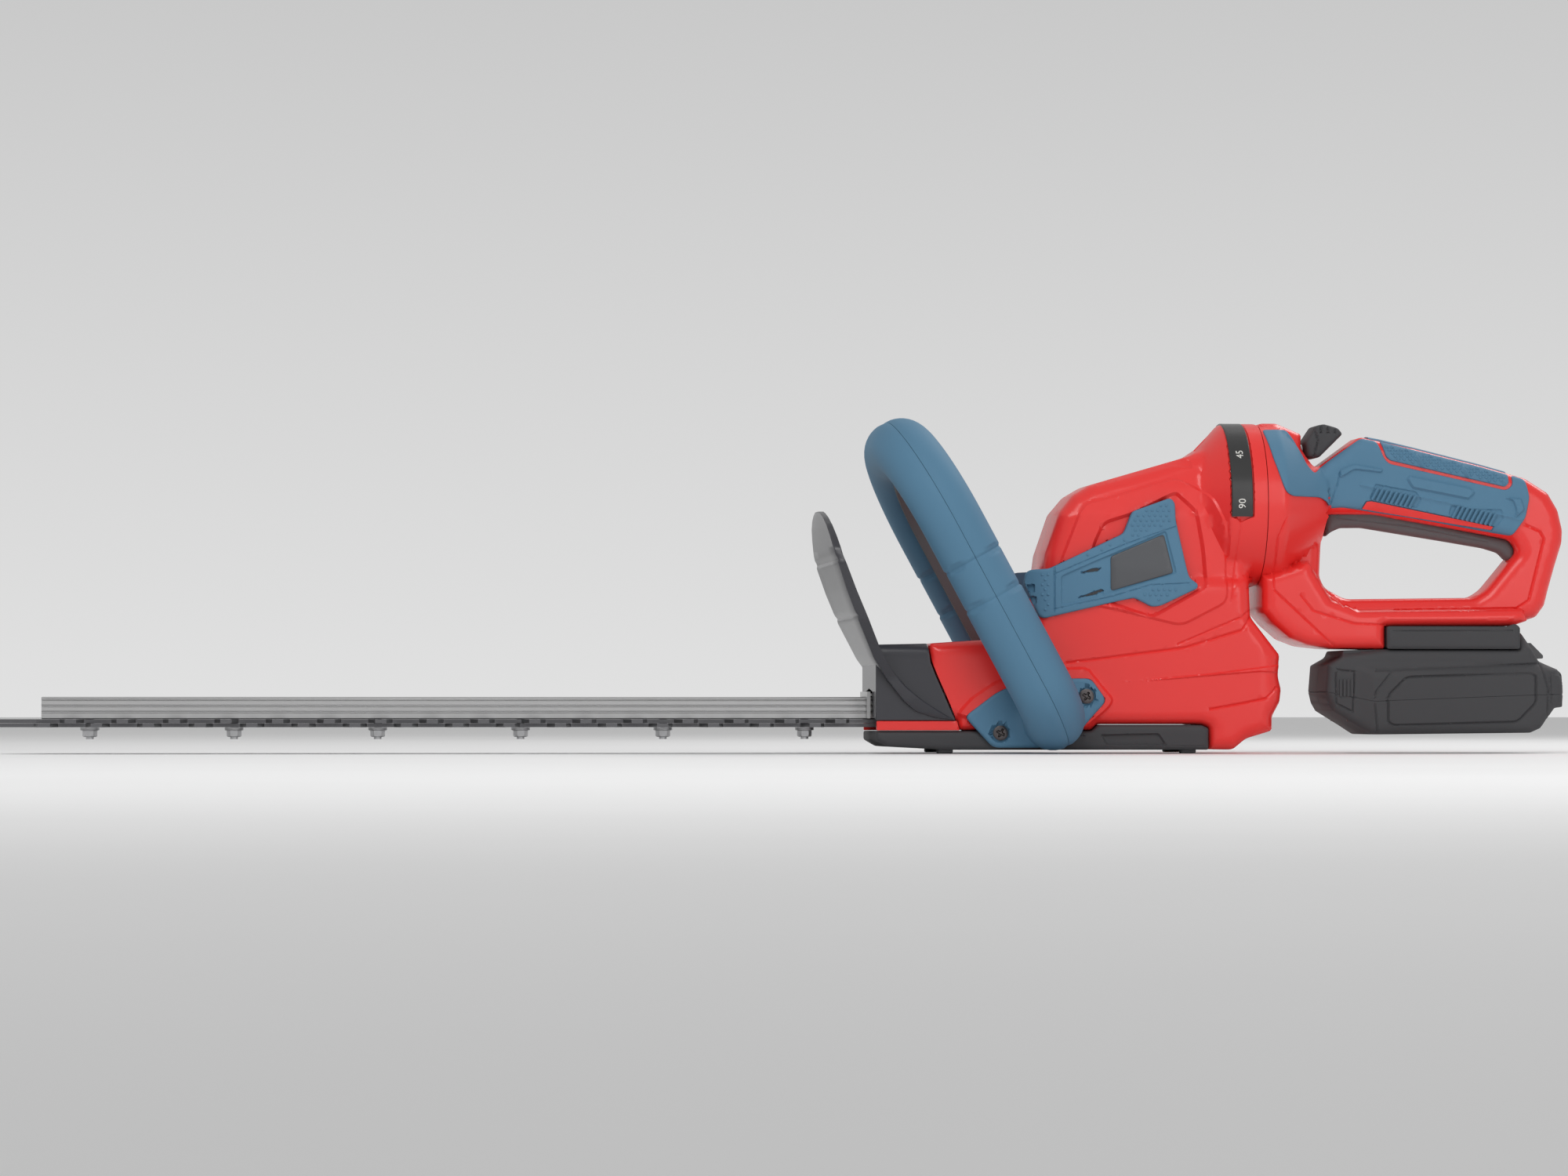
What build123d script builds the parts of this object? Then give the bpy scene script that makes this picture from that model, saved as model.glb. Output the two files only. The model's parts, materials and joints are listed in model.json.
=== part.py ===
from build123d import *
from math import cos, sin, tan, pi, radians, acos
import os

# Cordless hedge trimmer. Millimetres, +Z up, +X from the blade tip to the rear handle.
# Origin: on the floor, midway between the blade tip and the rear end, in the symmetry plane.

# ---- driving sizes -------------------------------------------------------------------------
blade_out = 547.5        # blade tip to the front face of the nose
body_length = 248.0      # front face of the nose to the swivel seam
handle_length = 199.5    # swivel seam to the rearmost point of the rear handle
body_half_width = 42.0
hump_half_width = 37.0
wall = 2.5               # thickness of every moulded shell
gap = 0.2                # between shells of one body
run = 0.3                # between pieces that move past each other

# blades, rail and their bolts
bolt_pitch = 90.0
bolt_count = 6
first_bolt = 56.5        # blade tip to the first bolt
tooth_pitch = 32.0
tooth_count = 16
tooth_reach = 37.0       # from the blade's centre line to a tooth's end
bar_half_width = 16.0
tooth_root = 15.0
tooth_end = 7.0
stroke = 8.0             # each blade runs this far each way
blade_thick = 2.4
blade_gap = 0.15
blade_low = 16.3         # underside of the lower blade
rail_high = 13.9
rail_half_width = 14.0
rail_setback = 27.0      # blade tip to the rail's front end
rail_insert = 44.0       # length of rail held in the nose
rail_channel = (7.0, 7.5)    # half width and depth of the channel along the rail's top
bolt_radius = 2.5
washer_radius = 6.0
washer_thick = 1.0
nut_across = 8.0
nut_high = 5.0

# drive
crank_back = 93.0        # nose face to the crank's axis
gear_module = 1.0
gear_teeth = 72
pinion_teeth = 12
gear_thick = 8.0
pressure_angle = 25.0
backlash = 0.12
shaft_radius = 4.0
eccentric_radius = 13.5
motor_radius = 18.5
motor_high = 57.0
motor_shaft_radius = 1.6

# swivel
swivel_height = 158.0
swivel_radius = 52.0
hub_radius = 19.0
bulkhead_back = 226.0    # nose face to the bulkhead that holds the hub
bulkhead_thick = 4.0

# front handle
loop_radius = 19.25      # of the tube
loop_wall = 2.75
loop_reach = 31.0        # side of the body to each leg's axis
loop_half_span = body_half_width + loop_reach
loop_length = 195.0      # along the legs, from the stub's axis to the top bar's axis
loop_lean = 28.4         # degrees, towards the blade
loop_corner = 58.0
loop_elbow = 24.0
loop_foot_back = 111.5   # nose face to the stubs' axis
loop_foot_high = 21.0
flange_thick = 4.3
bar_travel = 3.0         # of the front switch bar

# rear handle
grip_half_width = 18.5
base_half_width = 33.0
trigger_half_width = 8.0

# battery
pack_half_width = 38.0
pack_low = 11.5
cell_radius = 9.1
cell_long = 65.0

total = blade_out + body_length + handle_length
tip_x = -total / 2
nose_x = tip_x + blade_out
seam_x = nose_x + body_length
upper_low = blade_low + blade_thick + blade_gap
rail_low = upper_low + blade_thick + blade_gap
rail_top = rail_low + rail_high
crank_x = nose_x + crank_back
centre_distance = gear_module * (gear_teeth + pinion_teeth) / 2
motor_x = crank_x + centre_distance

os.makedirs("parts", exist_ok=True)


# ---- helpers -------------------------------------------------------------------------------
def block(x0, x1, y0, y1, z0, z1):
    return Pos((x0 + x1) / 2, (y0 + y1) / 2, (z0 + z1) / 2) * Box(x1 - x0, y1 - y0, z1 - z0)


def post(x, y, z0, z1, r):
    """Cylinder along Z."""
    return Pos(x, y, (z0 + z1) / 2) * Cylinder(r, z1 - z0)


def rod_x(x0, x1, y, z, r):
    return Pos((x0 + x1) / 2, y, z) * Rot(0, 90, 0) * Cylinder(r, x1 - x0)


def rod_y(x, y0, y1, z, r):
    return Pos(x, (y0 + y1) / 2, z) * Rot(90, 0, 0) * Cylinder(r, y1 - y0)


def cone_x(x0, x1, z, r0, r1):
    """Cone about a line along X, radius r0 at x0 and r1 at x1."""
    return Pos((x0 + x1) / 2, 0, z) * Rot(0, 90, 0) * Cone(r0, r1, x1 - x0)


def outline(points, radius=0, inset=0):
    """Closed outline, its corners rounded, then drawn in by inset."""
    face = make_face(Polyline(*points, close=True))
    if radius:
        face = fillet(face.vertices(), radius)
    if inset:
        face = offset(face, -inset, kind=Kind.INTERSECTION)
    return face


def prism(points, y0, y1, radius=0, inset=0):
    """Side outline of (x, z) points, extruded across from y0 to y1."""
    plane = Plane(origin=(0, y1, 0), x_dir=(1, 0, 0), z_dir=(0, -1, 0))
    return plane * extrude(outline(points, radius, inset), y1 - y0)


def along(points, x0, x1, radius=0, inset=0):
    """End outline of (y, z) points, extruded along X."""
    plane = Plane(origin=(x0, 0, 0), x_dir=(0, 1, 0), z_dir=(1, 0, 0))
    return plane * extrude(outline(points, radius, inset), x1 - x0)


def slab(points, z0, z1, radius=0):
    """Plan outline of (x, y) points, extruded up."""
    return Pos(0, 0, z0) * extrude(outline(points, radius), z1 - z0)


def behind_nose(points):
    return [(nose_x + s, z) for s, z in points]


def behind_seam(points):
    return [(seam_x + h, z) for h, z in points]


def mirror_y(shape):
    return mirror(shape, about=Plane.XZ)


def screw(x, y0, y1, z, r, head_r, head, side):
    """Screw along Y, its head at y0; side is -1 for a head that faces -Y."""
    low, high = min(y0, y1), max(y0, y1)
    body = rod_y(x, low, high, z, r)
    edge = y0 + side * head
    cap = rod_y(x, min(y0, edge), max(y0, edge), z, head_r)
    slot_end = y0 + side * (head + 1)
    slot_start = y0 + side * head / 2
    lo, hi = min(slot_start, slot_end), max(slot_start, slot_end)
    cross = block(x - head_r * 0.6, x + head_r * 0.6, lo, hi, z - 0.5, z + 0.5)
    cross += block(x - 0.5, x + 0.5, lo, hi, z - head_r * 0.6, z + head_r * 0.6)
    return body + cap - cross


def gear_outline(teeth, turn=0.0):
    """Involute outline, with a flank of short chords; turn is where a tooth's middle points."""
    pitch_r = gear_module * teeth / 2
    base_r = pitch_r * cos(radians(pressure_angle))
    tip_r = pitch_r + gear_module
    root_r = pitch_r - 1.25 * gear_module
    inv = tan(radians(pressure_angle)) - radians(pressure_angle)
    half = pi / (2 * teeth) - backlash / (2 * pitch_r)
    start_r = max(base_r, root_r + 0.05)
    steps = 4
    radii = [start_r + (tip_r - start_r) * i / steps for i in range(steps + 1)]

    def half_angle(r):
        a = acos(min(1.0, base_r / r))
        return half + inv - (tan(a) - a)

    points = []
    for n in range(teeth):
        middle = radians(turn) + 2 * pi * n / teeth
        rise = [(r, middle - half_angle(r)) for r in radii]
        fall = [(r, middle + half_angle(r)) for r in reversed(radii)]
        root = [(root_r, middle - half_angle(start_r) - 0.02 / teeth)]
        end = [(root_r, middle + half_angle(start_r) + 0.02 / teeth)]
        points += [(r * cos(a), r * sin(a)) for r, a in root + rise + fall + end]
    return points


def solids_of(shape):
    return Compound(children=list(shape.solids())) if len(shape.solids()) > 1 else shape.solids()[0]


def save(name, shape):
    export_step(solids_of(shape), f"parts/{name}.step")


# ---- support rail and blades ---------------------------------------------------------------
bolt_places = [tip_x + first_bolt + n * bolt_pitch for n in range(bolt_count)]
rail_front = tip_x + rail_setback
rail_rear = nose_x + rail_insert


def rail():
    w, z0, z1 = rail_half_width, rail_low, rail_top
    ch_w, ch_d = rail_channel
    groove, depth = 1.4, 1.2
    side_z = [z0 + 3.0, z0 + 6.6, z0 + 10.2]
    body = block(rail_front, rail_rear, -w, w, z0, z1)
    body -= block(rail_front - 1, rail_rear + 1, -ch_w, ch_w, z1 - ch_d, z1 + 1)
    for z in side_z:
        for side in (-1, 1):
            y = side * w
            body -= block(rail_front - 1, rail_rear + 1, min(y, y - side * depth),
                          max(y, y - side * depth), z - groove / 2, z + groove / 2)
    bevel = [(rail_front - 1, z1 + 1), (rail_front + 7, z1 + 1), (rail_front - 1, z1 - 5)]
    body -= prism(bevel, -w - 1, w + 1)
    for x in bolt_places:
        body -= post(x, 0, z0 - 1, z1, bolt_radius + 0.1)
    for x in rail_screw_places:
        body -= post(x, 0, z0 - 1, z1, bolt_radius + 0.1)
    return body


def blade(z0, shift):
    """Toothed bar with bolt slots and a window for its eccentric; shift moves its teeth along X."""
    z1 = z0 + blade_thick
    yoke_reach = eccentric_radius + 2 * stroke + run
    yoke_half = eccentric_radius + stroke + run
    rear = crank_x + yoke_reach + 6
    nose = tip_x + 24
    wide = crank_x - yoke_reach - 6
    bar = [(nose, -bar_half_width), (wide - 9, -bar_half_width), (wide, -yoke_half - 5),
           (rear, -yoke_half - 5), (rear, yoke_half + 5), (wide, yoke_half + 5),
           (wide - 9, bar_half_width), (nose, bar_half_width), (tip_x + 6, 7), (tip_x, 2),
           (tip_x, -2), (tip_x + 6, -7)]
    plan = make_face(Polyline(*bar, close=True))
    start = tip_x + 30 + shift
    for n in range(tooth_count):
        x = start + n * tooth_pitch
        tooth = [(x - tooth_root / 2, 0), (x + tooth_root / 2, 0),
                 (x + tooth_root / 2, bar_half_width), (x + tooth_end / 2, tooth_reach),
                 (x - tooth_end / 2, tooth_reach), (x - tooth_root / 2, bar_half_width)]
        plan += make_face(Polyline(*tooth, close=True))
        plan += make_face(Polyline(*[(px, -py) for px, py in reversed(tooth)], close=True))
    body = extrude(plan, blade_thick)
    body = Pos(0, 0, z0) * body
    slot_half = stroke + bolt_radius + run
    for x in bolt_places:
        body -= block(x - stroke, x + stroke, -bolt_radius - run, bolt_radius + run, z0 - 1, z1 + 1)
        body -= post(x - stroke, 0, z0 - 1, z1 + 1, bolt_radius + run)
        body -= post(x + stroke, 0, z0 - 1, z1 + 1, bolt_radius + run)
    for x0 in [(a + b) / 2 for a, b in zip(bolt_places, bolt_places[1:])]:
        body -= block(x0 - 22, x0 + 22, -5, 5, z0 - 1, z1 + 1)
    window = [(crank_x - yoke_reach, -yoke_half), (crank_x + yoke_reach, -yoke_half),
              (crank_x + yoke_reach, yoke_half), (crank_x - yoke_reach, yoke_half)]
    body -= slab(window, z0 - 1, z1 + 1, 8)
    return body


def hexagon(x, y, z0, z1, across):
    return Pos(x, y, z0) * extrude(RegularPolygon(across / 2, 6, major_radius=False), z1 - z0)


def bolts():
    group = []
    head_z = rail_top - rail_channel[1]
    low = blade_low - washer_thick - nut_high - 1.5
    for x in bolt_places:
        group.append(post(x, 0, low, head_z, bolt_radius) + post(x, 0, head_z, head_z + 3.5, 5.0))
    return Compound(children=group)


def washers():
    z1 = blade_low - blade_gap
    return Compound(children=[post(x, 0, z1 - washer_thick, z1, washer_radius)
                              - post(x, 0, 0, z1 + 1, bolt_radius + 0.1) for x in bolt_places])


def nuts():
    z1 = blade_low - blade_gap - washer_thick
    return Compound(children=[hexagon(x, 0, z1 - nut_high, z1, nut_across)
                              - post(x, 0, 0, z1 + 1, bolt_radius + 0.02) for x in bolt_places])


# ---- drive ---------------------------------------------------------------------------------
gear_low = rail_low + 3.6
gear_high = gear_low + gear_thick
plate_thick = 2.0
lower_plate = (rail_low + 0.3, rail_low + 0.3 + plate_thick)
upper_plate = (rail_top + 0.2, rail_top + 0.2 + 2.5)
motor_base = upper_plate[1]
rail_screw_places = [nose_x + 20, nose_x + 36]
plate_front = nose_x + 12
plate_rear = motor_x + 24
standoffs = [(crank_x - 34, 33), (crank_x - 34, -33), (motor_x + 18, 20), (motor_x + 18, -20)]
bearing_outer = 8.0


def gear_body(teeth, x, turn, z0, z1, bore):
    wheel = Pos(x, 0, z0) * extrude(make_face(Polyline(*gear_outline(teeth, turn), close=True)), z1 - z0)
    return wheel - post(x, 0, z0 - 1, z1 + 1, bore)


def crank_gear():
    wheel = gear_body(gear_teeth, crank_x, 0.0, gear_low, gear_high, shaft_radius)
    for n in range(6):
        a = radians(60 * n)
        wheel -= post(crank_x + 21 * cos(a), 21 * sin(a), gear_low - 1, gear_high + 1, 7.0)
    return wheel


def crank_shaft():
    return post(crank_x, 0, blade_low - 1.0, upper_plate[1] + 3.0, shaft_radius)


def eccentrics():
    """Two discs half a turn apart, set across the blades, so that both blades stand at mid stroke."""
    group = []
    for z0, side in ((blade_low, -1), (upper_low, 1)):
        disc = post(crank_x, side * stroke, z0, z0 + blade_thick, eccentric_radius)
        group.append(disc - post(crank_x, 0, z0 - 1, z0 + 4, shaft_radius))
    return Compound(children=group)


def plate(z_pair, front):
    half = body_half_width - wall - 1.5
    pts = [(front, -rail_half_width), (crank_x - 42, -half), (motor_x - 10, -half),
           (plate_rear, -24), (plate_rear, 24), (motor_x - 10, half), (crank_x - 42, half),
           (front, rail_half_width)]
    body = slab(pts, z_pair[0], z_pair[1])
    for x, y in standoffs:
        body -= post(x, y, 0, motor_base + 1, 1.6)
    return body


def gearbox_upper():
    body = plate(upper_plate, plate_front)
    body -= post(crank_x, 0, 0, motor_base + 1, bearing_outer)
    body -= post(motor_x, 0, 0, motor_base + 1, 6.5)
    for x in rail_screw_places:
        body -= post(x, 0, 0, motor_base + 1, bolt_radius + 0.1)
    for side in (-1, 1):
        body -= post(motor_x, side * 12.5, 0, motor_base + 1, 1.6)
    return body


def gearbox_lower():
    body = plate(lower_plate, rail_rear + 2)
    body -= post(crank_x, 0, 0, motor_base + 1, bearing_outer)
    for x, y in standoffs:
        pillar = post(x, y, lower_plate[1], upper_plate[0], 3.5)
        body += pillar - post(x, y, 0, motor_base + 1, 1.6)
    return body


def gearbox_screws():
    group = []
    for x, y in standoffs:
        group.append(post(x, y, lower_plate[0], motor_base, 1.5)
                     + post(x, y, motor_base, motor_base + 2, 3.0))
    for x in rail_screw_places:
        group.append(post(x, 0, rail_low, motor_base, bolt_radius)
                     + post(x, 0, motor_base, motor_base + 3, 4.5))
    for side in (-1, 1):
        y = side * 12.5
        group.append(post(motor_x, y, upper_plate[0] - 1.5, upper_plate[0], 2.6)
                     + post(motor_x, y, upper_plate[0], motor_base + 2.5, 1.5))
    return Compound(children=group)


def bushes():
    group = []
    for z0, z1 in ((lower_plate[0] + 0.05, lower_plate[1] + 0.6), (upper_plate[0] - 1.4, upper_plate[1])):
        group.append(post(crank_x, 0, z0, z1, bearing_outer)
                     - post(crank_x, 0, z0 - 1, z1 + 1, shaft_radius + 0.05))
    return Compound(children=group)


can_low = motor_base + 0.1
can_high = can_low + motor_high
shaft_low = gear_low - 1.0
fan_low = can_high + 7.0
shaft_high = fan_low + 9.0


def motor_can():
    body = post(motor_x, 0, can_low, can_high, motor_radius)
    body -= post(motor_x, 0, can_low + 2, can_high + 1, motor_radius - 3.5)
    body -= post(motor_x, 0, can_low - 1, can_low + 3, 3.5)
    for side in (-1, 1):
        body -= post(motor_x, side * 12.5, can_low - 1, can_low + 3, 1.6)
    return body


def motor_end_cap():
    ring_r = motor_radius - 3.7
    body = post(motor_x, 0, can_high, can_high + 3, motor_radius)
    body += post(motor_x, 0, can_high - 12, can_high, ring_r) - post(motor_x, 0, can_high - 13, can_high, 11.5)
    return body - post(motor_x, 0, can_high - 1, can_high + 4, 3.0)


def carbon_brushes():
    z = can_high - 7
    return Compound(children=[block(motor_x - 2, motor_x + 2, min(s * 6.3, s * 11.3),
                                    max(s * 6.3, s * 11.3), z - 3, z + 3) for s in (-1, 1)])


def armature():
    body = post(motor_x, 0, can_low + 10, can_high - 18, 13.0)
    for n in range(5):
        a = radians(72 * n)
        body -= Pos(motor_x + 12 * cos(a), 12 * sin(a), can_low + 26) * Rot(0, 0, 72 * n) * Box(6, 2.2, 60)
    return body - post(motor_x, 0, 0, 200, motor_shaft_radius)


def motor_shaft():
    return post(motor_x, 0, shaft_low, shaft_high, motor_shaft_radius)


def commutator():
    z = can_high - 7
    return post(motor_x, 0, z - 4.5, z + 4.5, 5.5) - post(motor_x, 0, z - 6, z + 6, motor_shaft_radius)


def cooling_fan():
    body = post(motor_x, 0, fan_low, fan_low + 1.5, 17.0) + post(motor_x, 0, fan_low, fan_low + 7, 4.5)
    for n in range(9):
        vane = Pos(motor_x, 0, fan_low + 4) * Rot(0, 0, 40 * n) * Pos(10.5, 0, 0) * Rot(0, 0, 20) * Box(12, 1.2, 6)
        body += vane
    return body - post(motor_x, 0, 0, 200, motor_shaft_radius)


# ---- housing -------------------------------------------------------------------------------
strip_low = 14.2
nose_low = 20.3
nose_top = 69.0
collar_start = 205.0
collar_full = 225.0
lower_side = [(0, 8), (8, 4), (46, 2), (228, 2), (236, 9), (253, 14), (253, 23), (258, 32),
              (259, 40), (257, 48), (258, 62), (246, 77), (239, 86), (237, 112), (120, 112),
              (108, 98), (98, 72), (34, nose_top), (0, nose_top - 1)]
hump_side = [(104, 60), (107, 112), (109, 126), (118, 152), (127, 163), (138, 169.5),
             (203, 189.5), (208, 187), (240, 187), (240, 60)]
trim_side = [(94.5, 107), (95.5, 111.5), (142, 131), (158, 141), (163, 151), (173, 156),
             (186, 161), (190, 153), (195, 126), (199, 111), (204, 106.5), (197, 101), (187, 96.5),
             (156, 96.5), (136, 91.5), (113, 86.5), (97, 88)]


def end_shape(half, low, high, shoulder, top_half):
    return [(-half, low), (half, low), (half, shoulder), (top_half, high), (-top_half, high),
            (-half, shoulder)]


def lower_blank(inset, y0=-60, y1=60):
    """Body below the hump, drawn in by inset and clipped between y0 and y1."""
    side = prism(behind_nose(lower_side), y0, y1, 1.2, inset)
    rear = end_shape(body_half_width, 0, 130, 104, 34)
    return side & along(rear, nose_x - 5, seam_x + 20, 5, inset)


def hump_blank(inset, y0=-60, y1=60):
    side = prism(behind_nose(hump_side), y0, y1, 2.0, inset)
    end = end_shape(hump_half_width, 40, 200, 150, 24)
    return side & along(end, nose_x, seam_x + 5, 7, inset)


def collar_blank(inset, x1, y0=-60, y1=60):
    x0, xm = nose_x + collar_start, nose_x + collar_full
    r = swivel_radius - inset
    body = cone_x(x0 + inset, xm + inset * 0.4, swivel_height, r - 22, r)
    body += rod_x(xm + inset * 0.4 - 0.01, x1, 0, swivel_height, r)
    return body & block(nose_x, seam_x + 20, y0, y1, 0, 300)


def half_shell():
    """Shell of the near (-Y) half of the housing, with its share of the hub's bulkhead."""
    outer = lower_blank(0, -60, -gap / 2) + hump_blank(0, -60, -gap / 2)
    outer += collar_blank(0, seam_x - run / 2, -60, -gap / 2)
    inner = lower_blank(wall, -60, 1) + hump_blank(wall, -60, 1)
    inner += collar_blank(wall, seam_x + 5, -60, 1)
    shell = outer - inner
    bulk_x = nose_x + bulkhead_back
    bulkhead = rod_x(bulk_x, bulk_x + bulkhead_thick, 0, swivel_height, swivel_radius - wall + 0.5)
    bulkhead -= rod_x(bulk_x - 1, bulk_x + bulkhead_thick + 1, 0, swivel_height, hub_radius + run)
    return shell + (bulkhead & block(nose_x, seam_x, -60, -gap / 2, 0, 300))


boss_places = [(nose_x + s, z) for s, z in ((60, 58), (172, 62), (206, 34), (206, 98), (138, 148))]


def boss_reach(z):
    return (hump_half_width if z > 112 else body_half_width) - 1


def nose_cut():
    """Space taken by the guard's collar, in front of a slanted joint line."""
    line = [(-5, nose_low), (51.5, nose_low), (48, 27.5), (44, 37), (39.5, 47), (35.5, 57),
            (33.7, nose_top + 5), (-5, nose_top + 5)]
    return prism(behind_nose(line), -60, 60)


def cover_region():
    """Everything below the line between the housing and the bottom cover."""
    line = [(-10, -5), (212, -5), (212, 16), (207, 18), (141, 18), (137, strip_low), (-10, strip_low)]
    return prism(behind_nose(line), -60, 60)


def blade_passage(clear):
    x0, x1 = nose_x - 10, crank_x + eccentric_radius + 3 * stroke + 10
    return block(x0, x1, -tooth_reach, tooth_reach, blade_low - clear, rail_low + clear)


def housing():
    near = half_shell()
    near -= cover_region()
    near -= nose_cut()
    near -= ring_seat()
    near -= blade_passage(3)
    near -= block(nose_x - 5, nose_x + 60, -rail_half_width - 1, rail_half_width + 1,
                  rail_low - 1, upper_plate[1] + 6)
    for s, z in flange_screws:
        near -= rod_y(nose_x + s, -60, -30, z, 2.05)
    near = keep_largest(near)
    far = mirror_y(near)
    for x, z in boss_places:
        reach = boss_reach(z)
        near += rod_y(x, -reach, -gap / 2, z, 4.0) - rod_y(x, -reach + 4, 0, z, 1.7)
        far += rod_y(x, gap / 2, reach, z, 4.0)
        far -= rod_y(x, 0, 60, z, 1.7)
        far -= rod_y(x, reach - 8, 60, z, 3.6)
    return keep_largest(near), keep_largest(far)


def keep_largest(shape):
    return max(shape.solids(), key=lambda s: s.volume)


def housing_screws():
    return Compound(children=[screw(x, boss_reach(z) - 8, -14, z, 1.5, 3.2, 2.2, 1)
                              for x, z in boss_places])


ring_width = 14.0
ring_front = seam_x - 9.5 - ring_width


def ring_seat():
    tube = rod_x(ring_front - gap, ring_front + ring_width + gap, 0, swivel_height, swivel_radius + 1)
    return tube - rod_x(ring_front - 1, ring_front + ring_width + 1, 0, swivel_height, swivel_radius - 1.6)


def scale_ring():
    """Smoked scale band that lies in a groove round the collar."""
    x0, x1 = ring_front, ring_front + ring_width
    tube = rod_x(x0, x1, 0, swivel_height, swivel_radius)
    return tube - rod_x(x0 - 1, x1 + 1, 0, swivel_height, swivel_radius - 1.4)


detent_x = nose_x + bulkhead_back + bulkhead_thick
detent_thick = 4.0
lock_angle_step = 45.0
lock_pin_ring = 36.0


def detent_ring():
    x0 = detent_x + 8
    ring = rod_x(x0, x0 + detent_thick, 0, swivel_height, swivel_radius - wall - gap)
    ring -= rod_x(x0 - 1, x0 + detent_thick + 1, 0, swivel_height, hub_radius + 5)
    for n in range(-2, 3):
        a = radians(90 + n * lock_angle_step)
        y, z = lock_pin_ring * cos(a), swivel_height + lock_pin_ring * sin(a)
        ring -= rod_x(x0 - 1, x0 + detent_thick + 1, y, z, 3.2)
    return ring


def bottom_cover():
    shell = lower_blank(0) - lower_blank(wall)
    inset = prism(behind_nose([(146, 5), (203, 5), (203, 14.5), (150, 14.5)]), -60, 60)
    shell = shell & cover_region()
    shell -= inset - block(-999, 999, -body_half_width + 1.2, body_half_width - 1.2, -9, 99)
    shell -= blade_passage(1.2)
    for s, z in flange_screws:
        shell -= rod_y(nose_x + s, -60, 60, z, 2.05)
    body = keep_largest(shell)
    for s in (44.5, 199.0):
        for side in (-1, 1):
            foot = Pos(nose_x + s, side * (body_half_width - 9), 1.4) * Box(8, 8, 2.8)
            body += foot
    return body


# ---- hand guard ----------------------------------------------------------------------------
guard_curve = [(-33, 150), (-31.8, 143), (-28.5, 126), (-20.8, 102), (-11.5, 80), (-3, 61), (6, 47)]
guard_half_width = 72.0


def guard_side():
    front = guard_curve
    back = [(s + 4.0, z) for s, z in reversed(guard_curve)]
    return [(-33.5, 153), (-32.5, 149)] + front[1:] + back[:-1]


def hand_guard():
    half = body_half_width
    line = [(0, nose_low), (50.8, nose_low), (47.5, 27.5), (43.5, 37), (39, 47), (35, 57),
            (33.3, nose_top + 5), (0, nose_top + 5)]
    outer = lower_blank(0) & prism(behind_nose(line), -60, 60)
    inner = block(nose_x - 1, nose_x + 60, -half + wall, half - wall, 0, nose_top - wall)
    collar = outer - inner
    face = block(nose_x, nose_x + wall, -half, half, nose_low, nose_top - 1)
    face -= block(nose_x - 1, nose_x + 5, -rail_half_width - 4, rail_half_width + 4, 0, rail_top + 4)
    face -= block(nose_x - 1, nose_x + 5, -tooth_reach - 0.5, tooth_reach + 0.5, 0, rail_low + 1)
    shield = prism(behind_nose(guard_side()), -guard_half_width, guard_half_width)
    front = [(-40, 40), (-guard_half_width + 6, 84), (-guard_half_width, 118),
             (-guard_half_width + 16, 140), (-38, 152), (38, 152), (guard_half_width - 16, 140),
             (guard_half_width, 118), (guard_half_width - 6, 84), (40, 40)]
    shield = shield & along(front, nose_x - 60, nose_x + 60, 6)
    bridge = [(-3, 62), (0, 56), (4, 52), (4, 67), (-4, 67)]
    joint = prism(behind_nose(bridge), -half + 2, half - 2)
    joint -= block(nose_x - 60, nose_x + 60, -rail_half_width - 4, rail_half_width + 4, 0, rail_top + 4)
    rim = [(-5.4, 66), (1.3, 54), (10.7, 41), (18, 32), (25.3, 26), (38, 21.5), (42, nose_low),
           (50.8, nose_low), (30.5, 32.4), (19.5, 41.2), (7.7, 54.3), (1.1, 66.3)]
    skirt = prism(behind_nose(rim), half, half + 3.0) + prism(behind_nose(rim), -half - 3.0, -half)
    body = collar + face + shield + joint + skirt
    return keep_largest(body - blade_passage(1))


def nose_bracket():
    """Stamped plate round the rail, where it enters the nose."""
    x0 = nose_x - 3.2
    body = block(x0, x0 + 2.0, -rail_half_width - 8, rail_half_width + 8, rail_low + 0.4, rail_top + 3.4)
    body -= block(x0 - 1, x0 + 3, -rail_half_width - 0.2, rail_half_width + 0.2, 0, rail_top + 0.2)
    ear = block(x0 + 2.0, x0 + 14, -rail_half_width - 3, rail_half_width + 3, rail_top + 0.6, rail_top + 0.6 + 1.6)
    return body + ear - block(x0 + 3.2 + 11.9, x0 + 40, -50, 50, 0, 100)


# ---- side trims ----------------------------------------------------------------------------
def trim_surface(thick):
    outer = lower_blank(-thick) + hump_blank(-thick)
    return outer - (lower_blank(-0.1) + hump_blank(-0.1))


def side_trims():
    skin = trim_surface(3.0) & prism(behind_nose(trim_side), -60, 60, 1.0)
    skin -= prism(behind_nose([(p[0], p[1]) for p in plate_outline]), -60, 60)
    near = keep_largest(skin & block(-999, 999, -90, -12, 0, 300))
    far = keep_largest(skin & block(-999, 999, 12, 90, 0, 300))
    return near, far


plate_outline = [(137.5, 98.5), (173, 108), (180, 122), (176, 137.5), (143, 122), (137.5, 118)]


def nameplates():
    skin = trim_surface(2.2) & prism(behind_nose(plate_outline), -60, 60, 1.0, 0.3)
    near = keep_largest(skin & block(-999, 999, -90, -12, 0, 300))
    far = keep_largest(skin & block(-999, 999, 12, 90, 0, 300))
    return Compound(children=[near, far])


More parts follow.
